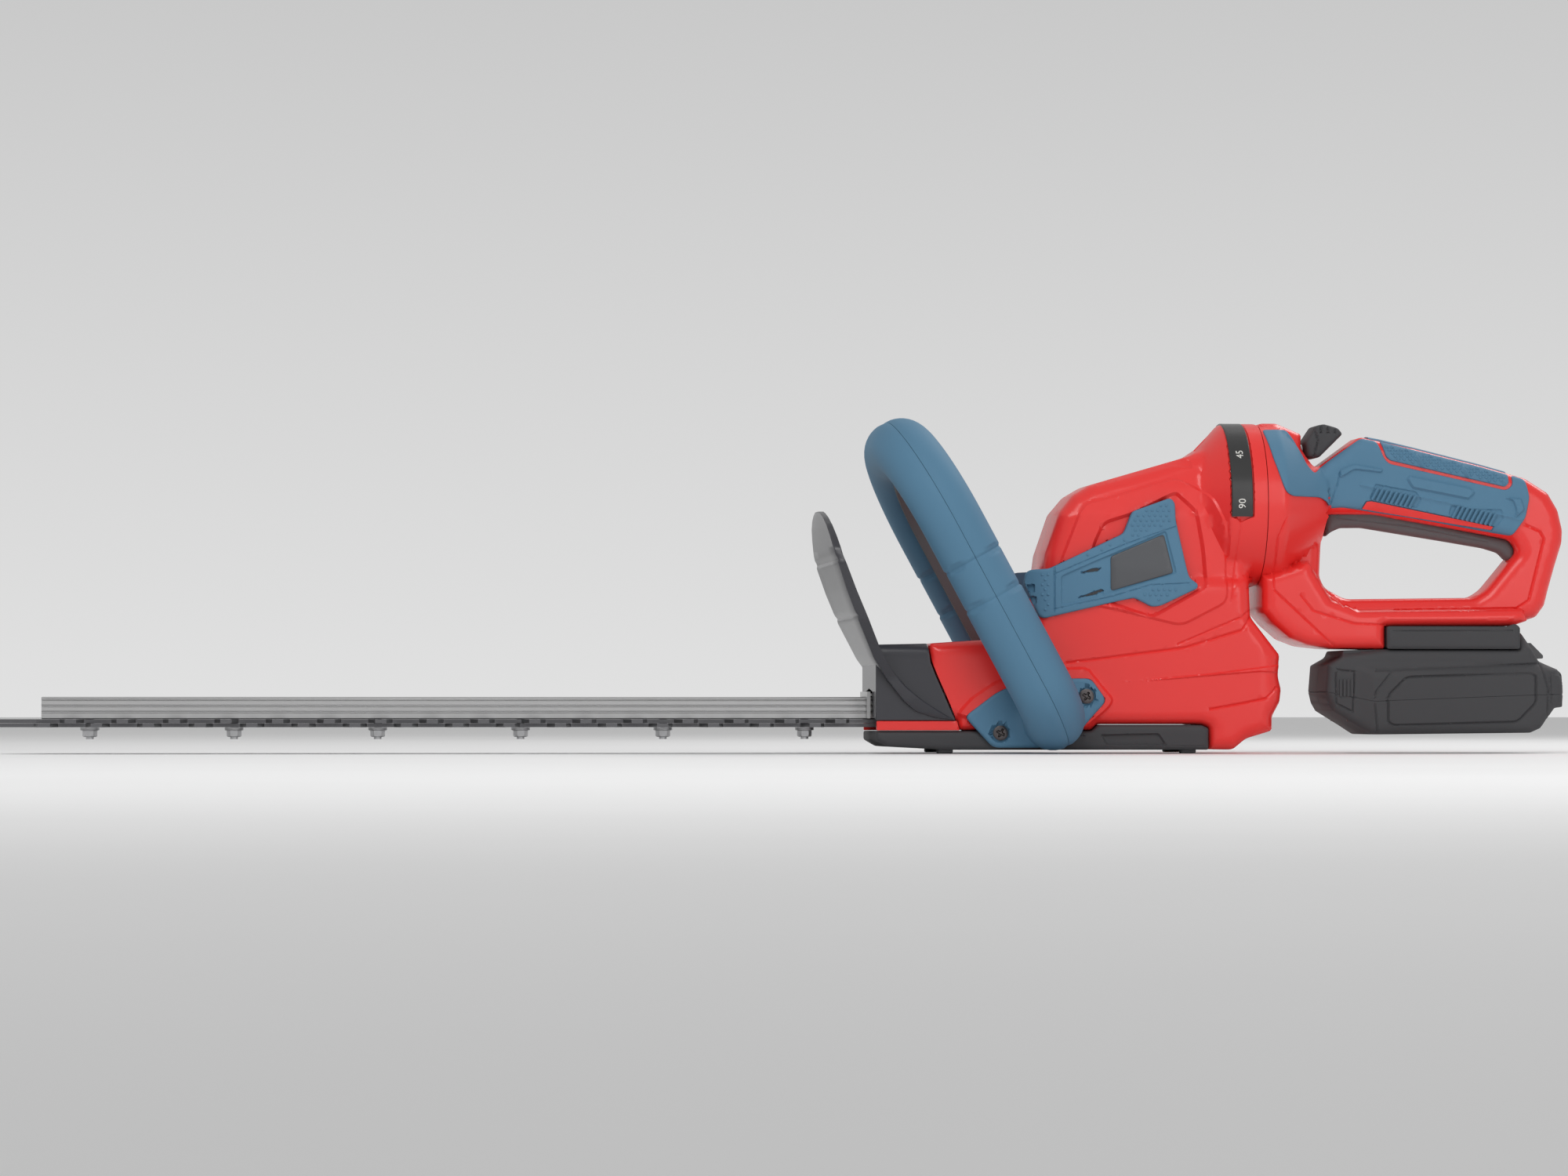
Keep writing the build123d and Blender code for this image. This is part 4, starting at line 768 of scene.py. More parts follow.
class TRIMMER_OT_trims(bpy.types.Operator):
    """Dimpled side trims with their air slots, and the plain plates set in them"""
    bl_idname = "trimmer.trims"
    bl_label = "Side trims"

    def execute(self, context):
        sizes = context.scene.trimmer_sizes
        loop = smooth_corners(from_nose(TRIM), 2.0, 3)

        def base(co):
            fold = np.clip((NOSE + 112 - co[:, 0]) / 16, 0, 1)
            return np.interp(co[:, 1], [80, 116, 140, 165], [42.4, 42.2, 39.4, 38.4]) - 5.0 * fold * fold

        def front(co):
            return base(co) + 2.0 - edge_drop(depth_in(co, [loop]), 1.3)

        band = [
            Panel(from_nose([(117, 111.5), (138, 120.8), (147, 124.5), (184.5, 140.5), (191, 113),
                             (148, 100.2), (131, 95.2), (117, 92)]), -1.2, 1.0, 2),
            Panel(from_nose([(121, 110), (137, 116.5), (143.5, 117), (141, 114.2), (128, 112.8)]), -2.2,
                  0.5, 1),
            Panel(from_nose([(125, 97), (143, 103.6), (145.2, 102), (138, 99.2)]), -2.2, 0.5, 1),
            Panel(from_nose([(96, 106.2), (101, 106.2), (101, 101), (97, 101)]), -2.4, 0.4, 0.5),
            Panel(from_nose([(98, 98.6), (102, 98.6), (102, 93.6), (99.6, 93.6)]), -2.4, 0.4, 0.5),
            Groove(from_nose([(113, 116), (113, 90)]), 1.6, 0.8),
            Groove(from_nose([(113, 112.5), (148, 127.4), (161, 132.6), (192, 143.3)]), 1.2, 0.6),
            Groove(from_nose([(113, 90.5), (150, 98.6), (175, 106), (198, 107)]), 1.2, 0.6),
        ]
        trim = plate([loop], front, lambda co: base(co) - 3.0, 2.2, band, rows=(0.3, 0.8, 1.6))
        pitch, radius = sizes.dimple_pitch / MM, sizes.dimple / MM
        xs, zs = np.arange(NOSE + 100, NOSE + 204, pitch), np.arange(84, 162, pitch * 0.87)
        grid = np.array([(x + pitch / 2 * (k % 2), z) for k, z in enumerate(zs) for x in xs])
        upper = smooth_corners(from_nose([(114.5, 114.6), (150, 129.6), (163, 134.6), (189.5, 145.5),
                                          (188, 160), (165, 151.4), (158.6, 136.6), (115, 117.4)]), 1)
        lower = smooth_corners(from_nose([(115, 89.6), (150, 97.2), (176, 104.6), (200, 105.6), (180, 94),
                                          (164, 99.5), (152.6, 96.6), (115, 87.8)]), 1)
        nose_part = smooth_corners(from_nose([(103, 113), (111.5, 113.8), (111.5, 88), (105, 87)]), 1)
        spots = np.vstack([grid[depth_in(grid, [area]) > radius] for area in (upper, lower, nose_part)])
        out = front(spots) - 0.05
        nub = turned([(0.01, -0.4), (radius, -0.4), (radius * 0.9, 0.25), (radius * 0.5, 0.55),
                      (0.01, 0.62)], 8)
        for side, sign, body, node in (("near", -1, trim, "side_trim_left"),
                                       ("far", 1, trim.mirrored(), "side_trim_right")):
            piece("skin_trim_" + side, body, "main_body", "blue_soft", node)
            places = [(x, sign * o, z) for (x, z), o in zip(spots, out)]
            turns = [(0, 0, 0 if sign < 0 else pi)] * len(places)
            nubs = scattered(nub, places, "blue_soft", turns, 1.0, 0.04)
            piece("skin_trim_nubs_" + side, nubs, "main_body", "blue_soft")
        # Near-black plates sunk in the two air slots on each side: painted shade for the dark inside of the
        # slots.
        vent_shade = Shape()
        for slot_line in ([(121.4, 110.4), (137, 116.2), (143, 116.7), (140.8, 114.4), (128, 113)],
                          [(125.6, 97.4), (143, 103.3), (144.8, 102), (138, 99.5)]):
            hole = smooth_corners(from_nose(slot_line), 0.8, 3)
            vent_shade.join(plate([hole], lambda co: base(co) - 0.7, lambda co: base(co) - 2.2, 2.0))
        piece("skin_trim_vents", both_sides(vent_shade), "main_body", "guard_grey")
        face = smooth_corners(from_nose([(148.8, 123.8), (183.1, 138.1), (188.7, 113.5), (148.8, 102)]),
                              2.0, 4)
        label = plate([face], lambda co: base(co) + 1.75 - edge_drop(depth_in(co, [face]), 0.8),
                      lambda co: base(co) + 0.2, 3.0, rows=(0.2, 0.5, 1.0))
        piece("skin_plates", both_sides(label), "main_body", "plate_grey", "nameplates")
        return {"FINISHED"}


GUARD_FRONT = [(47, 6.0), (60, -2.6), (83, -13.4), (102, -21.0), (118, -26.4), (126, -28.6), (143, -31.8),
               (150, -33.0), (153, -33.4)]
GUARD_REAR = [(47, 13.4), (54.3, 7.7), (66.3, 1.1), (76.1, -3.3), (101.2, -14.3), (123.1, -23.0),
              (144.9, -28.6), (153, -30.2)]
GUARD_WIDTH = [(40, 43.5), (84, 66), (118, 71.5), (128, 68), (136, 61), (143, 51), (148, 38), (151, 24),
               (153, 9)]


def by_height(z, table):
    return np.interp(z, [row[0] for row in table], [row[1] for row in table])


class TRIMMER_OT_guard(bpy.types.Operator):
    """Glossy hand guard: a curved shield with turned-back edges that sweep into the nose collar"""
    bl_idname = "trimmer.guard"
    bl_label = "Hand guard"

    def execute(self, context):
        levels = np.concatenate([np.arange(47, 148, 1.5), [148.5, 149.8, 151, 152, 152.7]])

        def section(z):
            wide, back = by_height(z, GUARD_WIDTH), by_height(z, GUARD_REAR)
            ahead = by_height(z, GUARD_FRONT)
            for crease in (86.0, 121.0):
                ahead += 0.9 * max(0, 1 - abs(z - crease) / 2.2)
            back = max(back, ahead + 3.4)
            ring = [(-wide, back), (-wide, ahead + 1.6), (-wide + 0.5, ahead + 0.5), (-wide + 1.6, ahead),
                    (-wide * 0.5, ahead - 0.2), (0, ahead - 0.3), (wide * 0.5, ahead - 0.2),
                    (wide - 1.6, ahead), (wide - 0.5, ahead + 0.5), (wide, ahead + 1.6), (wide, back),
                    (wide - 2.2, back), (wide - 2.4, ahead + 3.0), (0, ahead + 2.7),
                    (-wide + 2.4, ahead + 3.0), (-wide + 2.2, back)]
            return [(NOSE + s, y, z) for y, s in ring]

        shape = outward(swept([section(z) for z in levels]))
        sweep = smooth_corners(from_nose([
            (-3.0, 61), (6, 47), (10.7, 41), (18, 32), (25.3, 26), (38, 21.8), (50.2, 20.6), (40, 26.6),
            (30.5, 32.4), (19.5, 41.2), (7.7, 54.3), (4.2, 60.5)]), 1.5, 3)

        def rim(co):
            out = np.interp(co[:, 1], [20, 34, 47, 61], [42.6, 45.6, 47.1, 54.0])
            return out - edge_drop(depth_in(co, [sweep]), 1.2)

        def rim_back(co):
            return np.interp(co[:, 1], [20, 50, 61], [41.0, 43.2, 50.5])

        shape.join(both_sides(plate([sweep], rim, rim_back, 2.2, rows=(0.3, 0.8))))
        line = [(0.2, 20.5), (50.6, 20.5), (47.3, 27.5), (43.3, 37), (38.8, 47), (34.8, 57), (33.2, 68.9),
                (0.2, 68.2)]
        loop = smooth_corners(from_nose(line), 0.8, 3)

        def side(co):
            return 41.9 - edge_drop(69.0 - co[:, 1], 8.0) - edge_drop(depth_in(co, [loop]), 0.5)

        def inner(co):
            s, z = co[:, 0] - NOSE, co[:, 1]
            opening = np.where(z < 23, 38.4, np.where(z < 40, 18.4, 0.0))
            return np.where(s < 2.6, opening, np.where(z > 65.5, 0.0,
                                                       39.0 - 3.5 * np.clip((z - 60) / 6, 0, 1)))

        collar = plate([loop], side, inner, 2.2, rows=(0.3, 0.8, 1.8, 3.0, 5.0))
        shape.join(both_sides(collar))
        piece("skin_guard", shape, "main_body", "guard_grey", "hand_guard", angle=28)
        strip = smooth_corners(from_nose([(0.8, 14.2), (53.2, 14.2), (51.6, 20.2), (0.8, 20.2)]), 0.6, 3)
        low = plate([strip], rounded(41.8, strip, 0.6), flat(38.6), 2.6, rows=(0.3,))
        piece("skin_nose_strip", both_sides(low), "main_body", "red_plastic")
        return {"FINISHED"}


class TRIMMER_OT_cover(bpy.types.Operator):
    """Dark bottom cover with its side recess and feet"""
    bl_idname = "trimmer.cover"
    bl_label = "Bottom cover"

    def execute(self, context):
        line = [(0.6, 8.3), (8, 4), (46, 2), (211.6, 2), (211.6, 15.6), (207, 17.6), (141, 17.6), (137, 13.8),
                (0.6, 13.8)]
        loop = smooth_corners(from_nose(line), 1.2, 3)
        details = [Panel(from_nose([(142.4, 11.8), (146, 5), (185, 4.6), (179.5, 12.6)]), -1.6, 1.0, 1),
                   Groove(from_nose([(187, 4.4), (209, 4.4)]), 1.0, 0.5),
                   Groove(from_nose([(66, 10.8), (132, 10.8)]), 1.2, 0.5)]
        half = moulded([loop], rounded(41.8, loop, 3.0), 3.0, 2.2, details, rows=(0.3, 0.9, 1.8, 3.0))
        pad = smooth_corners([(-5, -5), (5, -5), (5, 5), (-5, 5)], 2.0)
        foot = plate([pad], rounded(2.6, pad, 0.8), flat(0), 2.5, rows=(0.3, 0.8))
        for s in (44.5, 199.0):
            half.join(foot.moved(Matrix.Translation((NOSE + s, -33, 2.6)) @ Matrix.Rotation(pi / 2, 4, "X")))
        piece("skin_cover", both_sides(half), "main_body", "dark_grey", "bottom_cover")
        return {"FINISHED"}


def wrapped_number(words, angle, x, side):
    """A thin raised number laid round the collar, with its top towards the blade."""
    text = bpy.data.curves.new("number", "FONT")
    text.body, text.size, text.extrude, text.resolution_u = words, 6.5, 0.12, 3
    text.align_x, text.align_y = "CENTER", "CENTER"
    holder = bpy.data.objects.new("number", text)
    bpy.context.scene.collection.objects.link(holder)
    mesh = bpy.data.meshes.new_from_object(holder.evaluated_get(bpy.context.evaluated_depsgraph_get()))
    verts = []
    for v in mesh.vertices:
        a = angle + side * v.co.x / 52.1
        r = 52.1 + v.co.z
        verts.append((x - v.co.y, -r * cos(a), SWIVEL_Z + r * sin(a)))
    shape = Shape().add(verts, [tuple(f.vertices) for f in mesh.polygons])
    bpy.data.objects.remove(holder)
    bpy.data.curves.remove(text)
    bpy.data.meshes.remove(mesh)
    return outward(shape)


class TRIMMER_OT_scale(bpy.types.Operator):
    """Smoked window on the collar with a generic angle scale"""
    bl_idname = "trimmer.scale"
    bl_label = "Scale window"

    def execute(self, context):
        x0, x1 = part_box("scale_ring")[0].x / MM + 0.3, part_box("scale_ring")[1].x / MM - 0.3
        profile = ((x0, 50.2), (x0, 51.7), (x0 + 0.5, 52.1), (x1 - 0.5, 52.1), (x1, 51.7), (x1, 50.2))
        band = swept([[(x, -r * cos(a), SWIVEL_Z + r * sin(a)) for x, r in profile]
                      for a in np.linspace(radians(-10), radians(190), 81)])
        piece("skin_scale_band", outward(band), "main_body", "smoke_band", "scale_ring")
        marks = Shape()
        for words, place in (("45", 36), ("90", -1)):
            for side in (1, -1):
                marks.join(wrapped_number(words, radians(place if side > 0 else 180 - place), (x0 + x1) / 2,
                                          side))
        piece("skin_scale_marks", marks, "main_body", "white_nylon")
        return {"FINISHED"}


class TRIMMER_OT_body_screws(bpy.types.Operator):
    """Cross-head screws in the handle flanges"""
    bl_idname = "trimmer.body_screws"
    bl_label = "Body screws"

    def execute(self, context):
        spots, turns = [], []
        for s, z in FLANGE_SCREWS:
            for side in (-1, 1):
                spots.append((NOSE + s, side * 43.8, z))
                turns.append((0, 0.5, 0 if side < 0 else pi))
        mesh = scattered(phillips_screw(4.7, 6.0), spots, "screw_steel", turns)
        piece("skin_handle_screws", mesh, "main_body", "screw_steel", "handle_screws")
        return {"FINISHED"}


# ---- front loop handle -------------------------------------------------------------------------
LOOP_TUBE = 19.25            # radius of the tube
LOOP_LEAN = radians(28.4)
LOOP_FOOT = (111.5, 21.0)    # nose to the stubs' axis, and its height
LOOP_SPAN = 73.0             # centre line to each leg's axis
LOOP_TOP = 195.0             # stubs' axis to the top bar's axis
LOOP_ELBOW = 24.0
LOOP_CORNER = 58.0
GRIP_RINGS = (86.5, 113.5)   # along each leg


def loop_path():
    """Centre line of the tube in the loop's own plane (across, along the legs)."""
    elbow, corner = LOOP_SPAN - LOOP_ELBOW, LOOP_SPAN - LOOP_CORNER
    half = [(-44.0, 0.0)]
    half += [(-elbow - LOOP_ELBOW * sin(a),
              LOOP_ELBOW - LOOP_ELBOW * cos(a)) for a in np.linspace(0, pi / 2, 10)]
    half += [(-LOOP_SPAN, t) for t in [*np.arange(27, 80, 4.0), *np.arange(80, 120, 0.8), 124, 130]]
    half += [(-corner - LOOP_CORNER * cos(a), LOOP_TOP - LOOP_CORNER + LOOP_CORNER * sin(a))
             for a in np.linspace(0, pi / 2, 26)]
    half += [(x, LOOP_TOP) for x in np.arange(-12, -1, 3.0)]
    return np.array(half + [(0, LOOP_TOP)] + [(-x, t) for x, t in reversed(half)])


class TRIMMER_OT_loop(bpy.types.Operator):
    """Blue loop handle: two half tubes with a seam, grip grooves and flanges"""
    bl_idname = "trimmer.loop"
    bl_label = "Loop handle"

    def execute(self, context):
        path = loop_path()
        ahead = np.gradient(path, axis=0)
        ahead /= np.linalg.norm(ahead, axis=1)[:, None]
        across, up = Vector((0, 1, 0)), Vector((-sin(LOOP_LEAN), 0, cos(LOOP_LEAN)))
        normal = across.cross(up)
        foot = Vector((NOSE + LOOP_FOOT[0], 0, LOOP_FOOT[1]))

        def radius(i, angle):
            """Radius with ring grooves on the legs and shallow dips between them."""
            x, t = path[i]
            sink = 0.0
            if abs(abs(x) - LOOP_SPAN) < 2:
                for place in GRIP_RINGS:
                    sink += max(0, 1 - abs(t - place) / 1.6)
                    if abs(((angle % pi) / pi * 4) % 2 - 1) < 0.45:
                        sink += 1.1 * min(1, max(0, 3.4 - abs(t - place)))
                first, last = GRIP_RINGS
                sink += 0.45 * min(1, max(0, (t - first) / 1.6)) * min(1, max(0, (last - t) / 1.6))
            return LOOP_TUBE - sink

        def half(sign):
            arc = [k * pi / 22 for k in range(23)]

            def ring(i):
                centre = foot + across * path[i, 0] + up * path[i, 1]
                side = up * -ahead[i, 0] + across * ahead[i, 1]
                outer = [(radius(i, a) - (0.7 if a in (arc[0], arc[-1]) else 0), a) for a in arc]
                inner = [(LOOP_TUBE - 2.9, a) for a in reversed(arc)]
                return [tuple(centre + side * r * cos(a) + normal * sign * (r * sin(a) + 0.12))
                        for r, a in outer + inner]

            return outward(swept([ring(i) for i in range(len(path))]))

        loop = smooth_corners(from_nose(FLANGE), 4, 5)

        def pad(co):
            out = 46.3 - edge_drop(depth_in(co, [loop]), 2.2)
            root = np.linalg.norm(co - (NOSE + LOOP_FOOT[0], LOOP_FOOT[1]), axis=1)
            out += 3.0 * np.clip((26 - root) / 8, 0, 1) ** 2
            for s, z in FLANGE_SCREWS:
                away = np.linalg.norm(co - (NOSE + s, z), axis=1)
                out = np.where(away < 5.6, 43.9, out)
            return out

        seats = Guides([(NOSE + s + r * cos(a), z + r * sin(a)) for s, z in FLANGE_SCREWS
                        for a in np.linspace(0, 2 * pi, 30) for r in (5.5, 5.7)])
        flange = plate([loop], pad, flat(42.1), 2.6, [seats], rows=(0.3, 0.9, 1.8, 3.0))
        piece("skin_loop_front", half(-1), "main_body", "blue_soft", "front_handle_front", angle=40)
        piece("skin_loop_rear", Shape().join(half(1)).join(both_sides(flange)), "main_body", "blue_soft",
              "front_handle_rear", angle=40)
        return {"FINISHED"}


# ---- rear handle -------------------------------------------------------------------------------
HANDLE = [(0.2, 209.8), (12, 209.8), (28, 203), (28, 191), (34, 182), (39, 182), (66, 201.5), (101, 194),
          (144, 183.4), (173, 175.4), (188, 166), (194.5, 155), (197.5, 142), (197, 134), (192, 118),
          (188, 104), (185.5, 94), (180, 86.5), (170, 83.5), (161, 80.5), (79, 80.2), (79, 65.8),
          (46, 66.3), (30, 68), (18, 72.5), (7, 82), (0.2, 90)]
HAND_HOLE = [(44, 152), (41.5, 143), (40.5, 128), (39.8, 112), (43, 105), (56, 97.8), (139.5, 98.9),
             (147.5, 103.8), (156, 114), (162.8, 122.2), (168, 128), (164, 136), (146, 139.5), (121, 144),
             (97, 148), (75, 152)]
BASE = [(0.2, 112), (0.2, 90), (7, 82), (18, 72.5), (30, 68), (46, 66.3), (79, 65.8), (79, 80.2), (161, 80.5),
        (172, 84), (168, 91.6), (62, 90.6), (45, 97), (38, 108), (30, 122)]


def handle_out(co):
    """Half width of the rear handle: grip, base and the round part that meets the collar."""
    h, z = co[:, 0] - SEAM, co[:, 1]
    whole = [np.array(from_seam(HANDLE)), np.array(from_seam(HAND_HOLE))]
    grip = 18.5 - edge_drop(depth_in(co, whole), 8.0)
    low = depth_in(co, [np.array(from_seam(BASE))])
    base = np.where(low > -0.2, np.interp(h, [0, 60, 185], [33, 33, 30]) - edge_drop(low, 7.0), 0)
    r = np.interp(h, [0, 12, 44], [SWIVEL_R, SWIVEL_R, 24])
    disc = np.where(h < 44, np.sqrt(np.clip(r * r - (z - SWIVEL_Z) ** 2, 0, None)), 0)
    return np.maximum(np.maximum(grip, base), np.maximum(disc, 0.4))


class TRIMMER_OT_rear_handle(bpy.types.Operator):
    """Two red half shells of the D handle with the bevel round the hand opening"""
    bl_idname = "trimmer.rear_handle"
    bl_label = "Rear handle"

    def execute(self, context):
        loops = [smooth_corners(from_seam(HANDLE), 3, 4), smooth_corners(from_seam(HAND_HOLE), 4, 4)]
        details = [
            Groove(from_seam([(11.3, 147.5), (6.7, 135.8), (6.7, 103.3), (46.2, 66.8)]), 2.0, 0.8),
            Groove(from_seam([(38.5, 106), (60.7, 90), (166, 91.8), (174.1, 97.3), (184.1, 136.6),
                              (181.4, 141.2), (172.7, 145.1)]), 2.4, 1.0),
            Groove(from_seam([(47.5, 156.5), (64, 158.2), (150.5, 143.4), (165, 141)]), 1.4, 0.6),
            Groove(from_seam([(24, 100), (32, 90), (58, 82), (80, 81)]), 2.0, 0.7),
            Groove(from_seam([(26, 205), (32.5, 190), (37, 184)]), 2.0, -0.9),
        ]
        half = moulded(loops, handle_out, 2.5, features=details, rows=(0.25, 0.8, 1.7, 3.0, 4.8, 6.6))
        pair("skin_handle", half, "rear_handle", "red_plastic", "rear_handle_left", "rear_handle_right")
        return {"FINISHED"}


class TRIMMER_OT_grips(bpy.types.Operator):
    """Soft blue grips with raised plates, chevrons, ribbed patches and red inlays, and the pad on top"""
    bl_idname = "trimmer.grips"
    bl_label = "Grips and pad"

    def execute(self, context):
        front_skin = smooth_corners(from_seam([
            (1.0, 205.2), (17.5, 205.6), (24.0, 196), (29.0, 182.8), (34.2, 177.2), (47, 187), (66, 200.4),
            (76, 198.8), (80.2, 188.0), (83.4, 184.2), (120, 176.2), (159.4, 167.4), (163.6, 170.6),
            (163.4, 177.5), (172, 174.6), (174.6, 163), (172, 150), (163.4, 138.2), (150, 140.4),
            (121, 145.6), (97, 149.8), (64.6, 154.6), (53.4, 156.2), (44.6, 155.4), (41.8, 159.6),
            (37, 162), (16, 162), (11.5, 164.4), (9.6, 168.6), (4.5, 186)]), 2.4, 4)

        def front(co):
            h = co[:, 0] - SEAM
            join = np.clip(1 - np.abs(h - 43) / 6, 0, 1)
            return handle_out(co) + 1.6 + 1.2 * join - edge_drop(depth_in(co, [front_skin]), 1.0)

        details = [
            Panel(from_seam([(51.4, 180), (60.7, 184), (80, 180.8), (78.5, 178), (61.3, 180),
                             (51.4, 174.4)]), 1.4, 1.0, 1),
            Panel(from_seam([(94.2, 174.5), (97.1, 176.8), (136.2, 169.2), (139.3, 165.5), (134.9, 161.1),
                             (98.4, 168.1)]), 1.6, 1.4, 1),
            Panel(from_seam([(154.1, 164), (169.4, 162.1), (171.4, 154.9), (164.8, 149), (165.2, 155.5),
                             (163.4, 160.4)]), 1.4, 1.0, 1),
            Panel(from_seam([(70.4, 161.4), (74.6, 171.4), (92, 168.2), (101, 166.6), (104.6, 161.4),
                             (101.4, 155.6)]),
                  -0.8, 0.8, 1),
            Panel(from_seam([(121.6, 151.4), (123.6, 158), (136, 155.6), (156.4, 155.4), (158, 149.6),
                             (152.4, 143)]),
                  -0.8, 0.8, 1),
            Groove(from_seam([(51.5, 178), (50.2, 171), (45.5, 158)]), 1.4, 0.6),
            Groove(from_seam([(65.3, 170.2), (95.7, 164.4), (123.6, 158.7), (170.1, 148.4)]), 3.0, -0.7),
            Panel(from_seam([(65.0, 155.3), (68.6, 160.5), (71.9, 160.8), (152.1, 144.5), (150.4, 141.5)]),
                  -1.1, 0.6, 0.6),
        ]
        near = plate([front_skin], front, lambda co: handle_out(co) - 0.6, 2.2, details, rows=(0.3, 0.8, 1.4))
        rib = plate([smooth_corners([(-0.9, -4.6), (0.9, -4.6), (0.9, 4.6), (-0.9, 4.6)], 0.7, 3)],
                    lambda co: 1.5 - edge_drop(0.9 - np.abs(co[:, 0]), 0.8),
                    flat(-0.8), 0.8)
        inlay = smooth_corners(from_seam([(66.2, 155.2), (69.2, 159.8), (72.2, 160), (150.9, 144),
                                          (149.6, 142)]), 0.6, 3)
        red_line = plate([inlay], lambda co: handle_out(co) + 1.5, lambda co: handle_out(co) - 0.4, 2.5)
        rows = [(SEAM + h + 3.0 * k, z - 0.62 * k) for h, z in ((74.5, 164.8),
                                                                (126.5, 153.6)) for k in range(9)]
        outs = front(np.array(rows))
        for side, sign, node in (("near", -1, "grip_left"), ("far", 1, "grip_right")):
            spots = [(x, sign * out, z) for (x, z), out in zip(rows, outs)]
            turns = [(0, -0.5 * sign, 0 if sign < 0 else pi)] * len(rows)
            piece("skin_grip_" + side, near if sign < 0 else near.mirrored(), "rear_handle", "blue_soft",
                  node)
            piece("skin_grip_ribs_" + side, scattered(rib, spots, "blue_soft", turns), "rear_handle",
                  "blue_soft")
            piece("skin_grip_inlay_" + side, red_line if sign < 0 else red_line.mirrored(), "rear_handle",
                  "red_plastic")
        pad_line = smooth_corners(from_seam([(78.5, 198.6), (81.6, 188.6), (84.4, 186.2), (120, 178.2),
                                             (158.6, 169.6), (161.2, 172), (161.2, 177.6), (144, 182.4),
                                             (101, 193)]),
                                  1.2, 3)
        ribs = [Groove(from_seam([(h, z), (h + 7, z - 13)]), 3.6, -1.3) for h, z in ((101, 190), (131, 183))]

        def pad_front(co):
            return handle_out(co) + 1.5 - edge_drop(depth_in(co, [pad_line]), 0.9)

        pad = plate([pad_line], pad_front, lambda co: handle_out(co) - 0.8, 2.2, ribs, rows=(0.3, 0.8))
        crest = dense(from_seam([(72, 200.6), (79, 199.4), (101, 194.3), (144, 183.7), (161, 179)]), 3.0,
                      False)
        crown = ((-11.5, -1.5), (-10.6, 0.6), (-7, 1.6), (0, 2.0), (7, 1.6), (10.6, 0.6), (11.5, -1.5))
        top = outward(swept([[(x, y, z + lift - 0.6) for y, lift in crown] for x, z in crest]))
        gem = turned([(1.35, -0.5), (1.35, 0.05), (0.75, 0.5), (0.01, 0.55)], 4)
        spots = np.array([(x + 1.9 * (k % 2), z) for k, z in enumerate(np.arange(168, 200, 1.9))
                          for x in np.arange(SEAM + 78, SEAM + 164, 3.8)])
        spots = spots[depth_in(spots, [pad_line]) > 1.6]
        outs = pad_front(spots)
        places = [(x, sign * out, z) for sign in (-1, 1) for (x, z), out in zip(spots, outs)]
        turns = [(0, 0, turn) for turn in (0, pi) for _ in spots]
        piece("skin_pad", Shape().join(both_sides(pad)).join(top), "rear_handle", "blue_soft", "top_pad")
        piece("skin_pad_texture", scattered(gem, places, "blue_soft", turns), "rear_handle", "blue_soft",
              angle=20)
        return {"FINISHED"}


class TRIMMER_OT_controls(bpy.types.Operator):
    """Trigger and rotation lock"""
    bl_idname = "trimmer.controls"
    bl_label = "Controls"

    def execute(self, context):
        blade = smooth_corners(from_seam([
            (46, 155.6), (44.9, 146), (45.0, 137.5), (48.6, 140.8), (55, 143.6), (69, 143.8), (99, 139),
            (124, 135), (148, 131), (158, 128), (163, 122.8), (167.5, 123.6), (168.2, 131), (163.5, 136.4),
            (152, 139), (97, 151), (76, 156.6)]), 2.0, 4)

        lever = plate([blade], rounded(7.8, blade, 4.5), flat(0), 2.0,
                      [Groove(from_seam([(52, 150), (98, 145), (150, 135)]), 2.0, 0.5)],
                      rows=(0.3, 0.9, 1.9, 3.2))
        piece("skin_trigger", both_sides(lever), "trigger_lever", "mid_grey", "trigger")
        knob = smooth_corners(from_seam([(30.5, 197.5), (38, 208.6), (43, 209.6), (52, 207), (55, 203.3),
                                         (39.5, 188), (32, 188)]), 1.6, 4)
        steps = [Groove(from_seam([(40.5 + 4.6 * k, 211), (40.5 + 4.6 * k, 204)]), 2.2,
                        1.2) for k in range(3)]
        steps.append(Groove(from_seam([(36, 206), (38.6, 199), (36, 189)]), 1.8, 0.9))
        lock = plate([knob], rounded(15.0, knob, 3.0), flat(0), 1.6, steps, rows=(0.3, 0.9, 1.9))
        piece("skin_lock", both_sides(lock), "rotation_lock", "dark_grey", "lock_slider")
        return {"FINISHED"}


# ---- battery -----------------------------------------------------------------------------------
RECEIVER = [(79.4, 66), (79.4, 80), (156, 80), (162, 82), (165, 80), (165, 66)]
PACK_TOP = [(50.8, 60.6), (52.0, 65.0), (79.4, 65.7), (165, 65.7), (163.5, 75), (168, 76.4), (177.6, 58.2),
            (189, 53), (192.4, 50), (193.3, 37), (174, 36.6), (80, 33), (71, 32.4), (40, 38.6), (41.4, 55.5)]
PACK_LOW = [(40, 38.7), (71, 32.5), (80, 33.1), (174, 36.7), (193.3, 37.1), (192.6, 29), (187.3, 28.4),
            (177.5, 15.4), (171.3, 12.6), (74.4, 11.6), (69.3, 11.6), (44.6, 26.6), (41.6, 31.7)]
PANEL = [(79, 36.3), (90.9, 47.9), (171.3, 50.5), (174.1, 48.5), (174.1, 31.7), (162, 19.5), (82.6, 17.3),
         (79, 19.5)]


